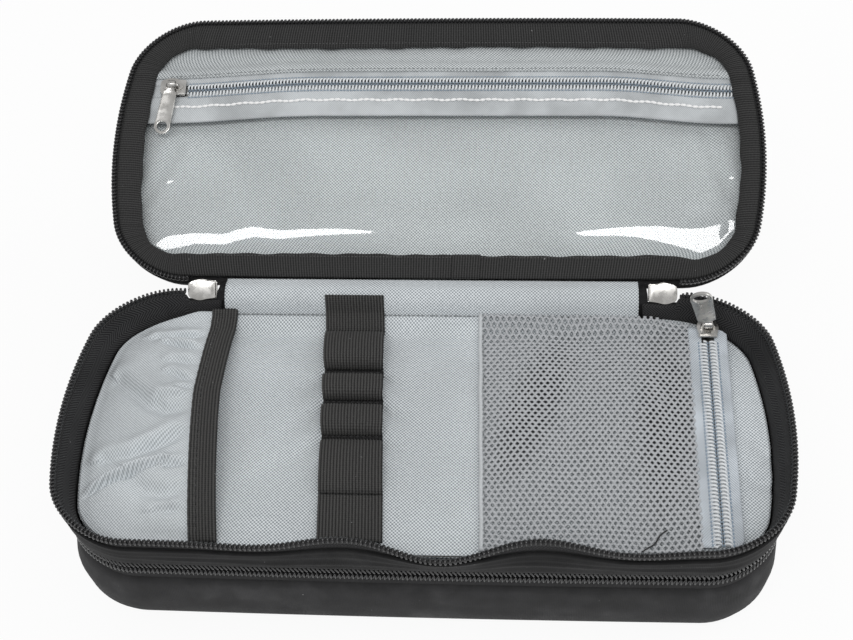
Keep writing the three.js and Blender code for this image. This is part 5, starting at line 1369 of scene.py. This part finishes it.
# The film's lower bend, from left to right: its distance from the hinge edge and how wide its steepest part is.
BEND = np.array([
    (-104, 14.5, -1), (-93.5, 14.8, -0.5), (-91.5, 15.2, 2.4), (-89, 15.9, 3.8), (-80, 17.4, 3.0), (-70, 17.1, 2.8),
    (-65, 19.0, 3.0), (-60, 20.0, 3.1), (-54.5, 19.1, 2.6), (-50, 18.9, 2.3), (-44, 19.5, 2.0), (-33, 20.0, 1.5),
    (-22, 19.9, 0.6), (-16, 19.8, -0.6), (46, 19.8, -0.6), (50, 19.8, 0.6), (59, 20.5, 1.5), (67, 20.7, 2.2),
    (74.5, 20.1, 3.4), (82, 18.8, 4.3), (88, 17.9, 6.0), (94, 20, 4.8), (98, 23, 2.4), (102, 24, -1),
])

# Small blisters of the film that catch the light: rise, place and width across, place and width up, and lean.
BLISTERS = ((0.46, 80, 3.6, 63.4, 1.1, 0), (0.72, -90, 2.8, 38.5, 1.6, 0.3), (0.75, 98.5, 2.2, 40.5, 1.7, 0))

# Furrows of the panel behind the film, as lines of x and distance from the hinge edge.
FURROWS = (((-99, 33), (-95, 40), (-90.5, 52)), ((99, 35), (94, 45), (91, 58)), ((101, 20), (95, 25), (88, 24)))


def film_back(x, v):
    """How far the film lies back from its flat face: it is sewn low along the hinge edge and comes forward over a
    bend."""
    middle, wide = (np.interp(x, BEND[:, 0], BEND[:, k]) for k in (1, 2))
    steep = 3.0 / np.clip(wide, 1.6, None)
    peak = 15.1 + 0.006 * x + wide * steep / 2
    edge = np.clip(wide / 2, 0, None) + 0.4
    steps, high = 90, 34.0
    back = np.zeros(np.broadcast(x, v).shape)
    for k in range(steps):
        at = v + (high - v) * (k + 0.5) / steps
        far = np.abs(at - middle)
        slope = peak - steep * np.minimum(far, edge) - 2.0 * np.clip(far - edge, 0, None)
        slope = np.maximum(slope, np.where(at < middle, 10.0, 0.0)) * smooth(at, 7.5, 10)
        back = back + np.tan(np.radians(slope)) * (high - v) / steps
    back = np.where(v < high, back, 0)
    for rise, x0, wide_x, v0, wide_v, lean in BLISTERS:
        back = back - rise * np.exp(-(((x - x0) / wide_x) ** 2) - ((v - v0 - lean * (x - x0)) / wide_v) ** 2)
    return back


def make_lid():
    shell = tub(0.8, RIM + 14, RIM + 5.5, 2.5, 2.5, 8, 0.3, 9)
    piece("lid_cloth", shell, SHELL, "lid", ["lid_shell"])

    def lining_at(x, v):
        puff = 0.5 * np.sin(math.pi * np.clip((v - 5) / 88, 0, 1)) * np.cos(math.pi * np.clip(x / 210, -0.5, 0.5))
        for line in FURROWS:
            far = from_line(x, v, line)[0]
            puff = puff - 0.75 * np.exp(-((far / 2.2) ** 2)) + 0.45 * np.exp(-(((far - 4.2) / 2.4) ** 2))
        return RIM + 8.5 - puff - 0.18 * ripple(x, v, 40, 61)

    lining = piece("lid_panel", lid_patch(5.3, 5.6, 92.4, lining_at, 0.3, 1.6), LID_LINING, "lid",
                   ["lid_lining"])

    at = stops(0.475)
    edge = outline(at, 6, 0)
    far = lengths(edge, True)[:-1]
    rib = 0.09 * np.cos(TAU * far / 0.95)
    sway = 0.28 * np.sin(far / 2.3) * np.sin(far / 7.1) + 0.22 * np.sin(far / 17)
    profile = [(2.0, 53.5), (2.05, 54.1), (4.1, 54.5), (6.3, 54.75), (8.4, 55.0), (10.2, 55.25), (10.5, 54.7),
               (10.25, 54.2), (9.4, 53.75), (8.0, 53.35), (6.2, 53.1), (4.4, 53.0), (3.0, 53.02), (2.25, 53.15)]
    section = []
    slim = 0.3 * smooth(edge[:, 0], 70, 98) + 0.14 * smooth(-edge[:, 0], 74, 98)
    slim = slim * smooth(edge[:, 1], -46, -24)
    for k, (inset, z) in enumerate(profile):
        drawn = 2 + (inset - 2) * (1 - slim) + sway * smooth(inset, 7, 10)
        section.append(np.stack([drawn, z - rib * (k > 5)], 1))
    binding = swept(at, np.stack(section, 1))
    piece("lid_binding_tape", binding, GROSGRAIN, "lid", ["lid_binding"])

    at = stops(1.6, ZIP_NOTCH, ZIP_NOTCH)
    tape = swept(at, rounded([(0.9, 54.6), (0.9, 57.2), (1.7, 57.2), (1.7, 54.6)], 0.2, 1), ring=False)
    piece("rim_tape_lid", tape, PLAIN_TAPE, "lid", ["main_zip_tape_lid"])
    path = outline_path(0.85, 53.25, ZIP_NOTCH, ZIP_NOTCH)
    coil = wound(path, 1.3, 0.66, 0.5, 0.78, phase=0.5, per_turn=12)
    piece("rim_coil_lid", coil, BLACK_COIL, "lid", ["main_zip_coil_lid"])
    core = rounded([(0.55, 53.0), (0.55, 54.45), (2.3, 54.45), (2.3, 54.0), (1.2, 53.6), (1.2, 53.0)], 0.25, 2)
    core = swept(at, core, ring=False)
    piece("rim_core_lid", core, BLACK_THREAD, "lid")
    row = outline_path(9.25, 53.55, 0.01, 0.01)
    keep = np.abs(row.points[:, 0]) < 72
    for side in (1, -1):
        part = row.points[keep & (row.points[:, 1] * side > 0)]
        part = line_path(part[np.argsort(part[:, 0])], DOWN)
        name = "hinge" if side > 0 else "top"
        piece(f"binding_stitches_{name}", grains(part, 1.15, 0.62, 0.34, 0.34, jitter=0.05), DULL_THREAD, "lid")
    lap = np.array([(x, STRAIGHT_Y, 0, 1) for x in np.linspace(6.7, 15.5, 20)])
    lap = swept(lap, [(1.9, 53.6), (3.0, 53.1), (6.2, 53.15), (9.6, 53.85), (10.6, 54.3), (9.6, 53.45), (6.2, 52.75),
                      (3.0, 52.65), (1.7, 53.1)], ring=False)
    piece("binding_lap", lap, GROSGRAIN, "lid")


def make_window():
    def film_at(x, v):
        return WINDOW_FACE + 0.1 + film_back(x, v) - 0.12 * ripple(x, v, 46, 71) * smooth(v, 26, 44)

    film = lid_patch(4.5, 4.9, 66, film_at, 0.25, 0.6, bow=(0, 1))
    film = piece("window_film", film, FILM, "lid", ["pvc_window"])

    def strip_at(x, v):
        over = smooth(v - zip_bow(x), 81.5, 79)
        return WINDOW_FACE - 0.15 + 0.1 * ripple(x, v, 22, 72) * (1 - over) - 1.3 * over

    strip = lid_patch(4.5, ZIP_UP + 4.6, 93.2, strip_at, 0.5, 0.9, bow=(1, 0))
    made = piece("window_top_strip", strip, STRIP_LINING, "lid", ["pocket_top_strip"])

    def tape_at(x, v):
        return CHAIN_LEVEL - 0.3 + 0.08 * ripple(x, v, 18, 73)

    for side, low, high in (("upper", ZIP_UP + 2.1, ZIP_UP + 7.4), ("lower", ZIP_UP - 12, ZIP_UP - 2.1)):
        tape = lid_patch(7.4, low, high, tape_at, 0.6, 0.8, bow=(1, 1))
        piece(f"window_tape_{side}", tape, WINDOW_TAPE, "lid", [f"pvc_zip_tape_{side}"])
    x = np.linspace(-103, -95.5, 8)
    v = np.linspace(-2.6, 2.6, 6)
    y = BACK - ZIP_UP - zip_bow(x)[:, None] - v
    end = layers(x[:, None], y, CHAIN_LEVEL - 0.1, CHAIN_LEVEL + 0.3, x, v + 2.6)
    piece("window_tape_end", end, WINDOW_TAPE, "lid")
    x = np.linspace(-86.5, 101, 200)
    for side, sign in (("upper", 1), ("lower", -1)):
        coil = wound(by_window_zip(x, sign * 1.34, 0), 1.15, 0.55, 0.8, 0.66, phase=0.25 * (1 + sign))
        piece(f"window_coil_{side}", coil, PALE_COIL, "lid", [f"pvc_zip_coil_{side}"])
        sewn = Shape()
        for offset, size in ((2.55, 0.42), (0.28, 0.36)):
            sewn.join(grains(by_window_zip(x, sign * offset, 0.42), 1.15, 0.95, size, 0.42))
        piece(f"window_coil_stitches_{side}", sewn, BLUE_THREAD, "lid")

    x = np.linspace(-93, 97, 240)
    row = grains(by_window_zip(x, 5.5 - 0.1 * np.sin(x / 9), 0.95), 1.5, 0.95, 0.42, 0.4, jitter=0.07)
    piece("top_strip_stitches", row, GREY_THREAD, "lid")
    # White stitches along the film's edge, pure white and running together in a bead: partly real stitching and
    # partly a painted highlight for the shine along the film's folded edge.
    row = grains(by_window_zip(x, -6.2 - 0.18 * np.sin(x / 1.7), 0.5), 2.0, 2.2, 1.1, 0.8, jitter=0.1)
    piece("window_stitches_and_shine", row, WHITE_THREAD_AND_SHINE, "lid")


make_lower_case()
make_tray_walls()
make_tray_floor()
make_pocket()
make_loops()
make_net()
make_mesh_zip()
make_metal()
make_hinges()
make_lid()
make_window()

for node in ("bottom_board", "tray_board", "lid_board"):
    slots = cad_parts[node].data.materials
    slots.clear()
    slots.append(BOARD)
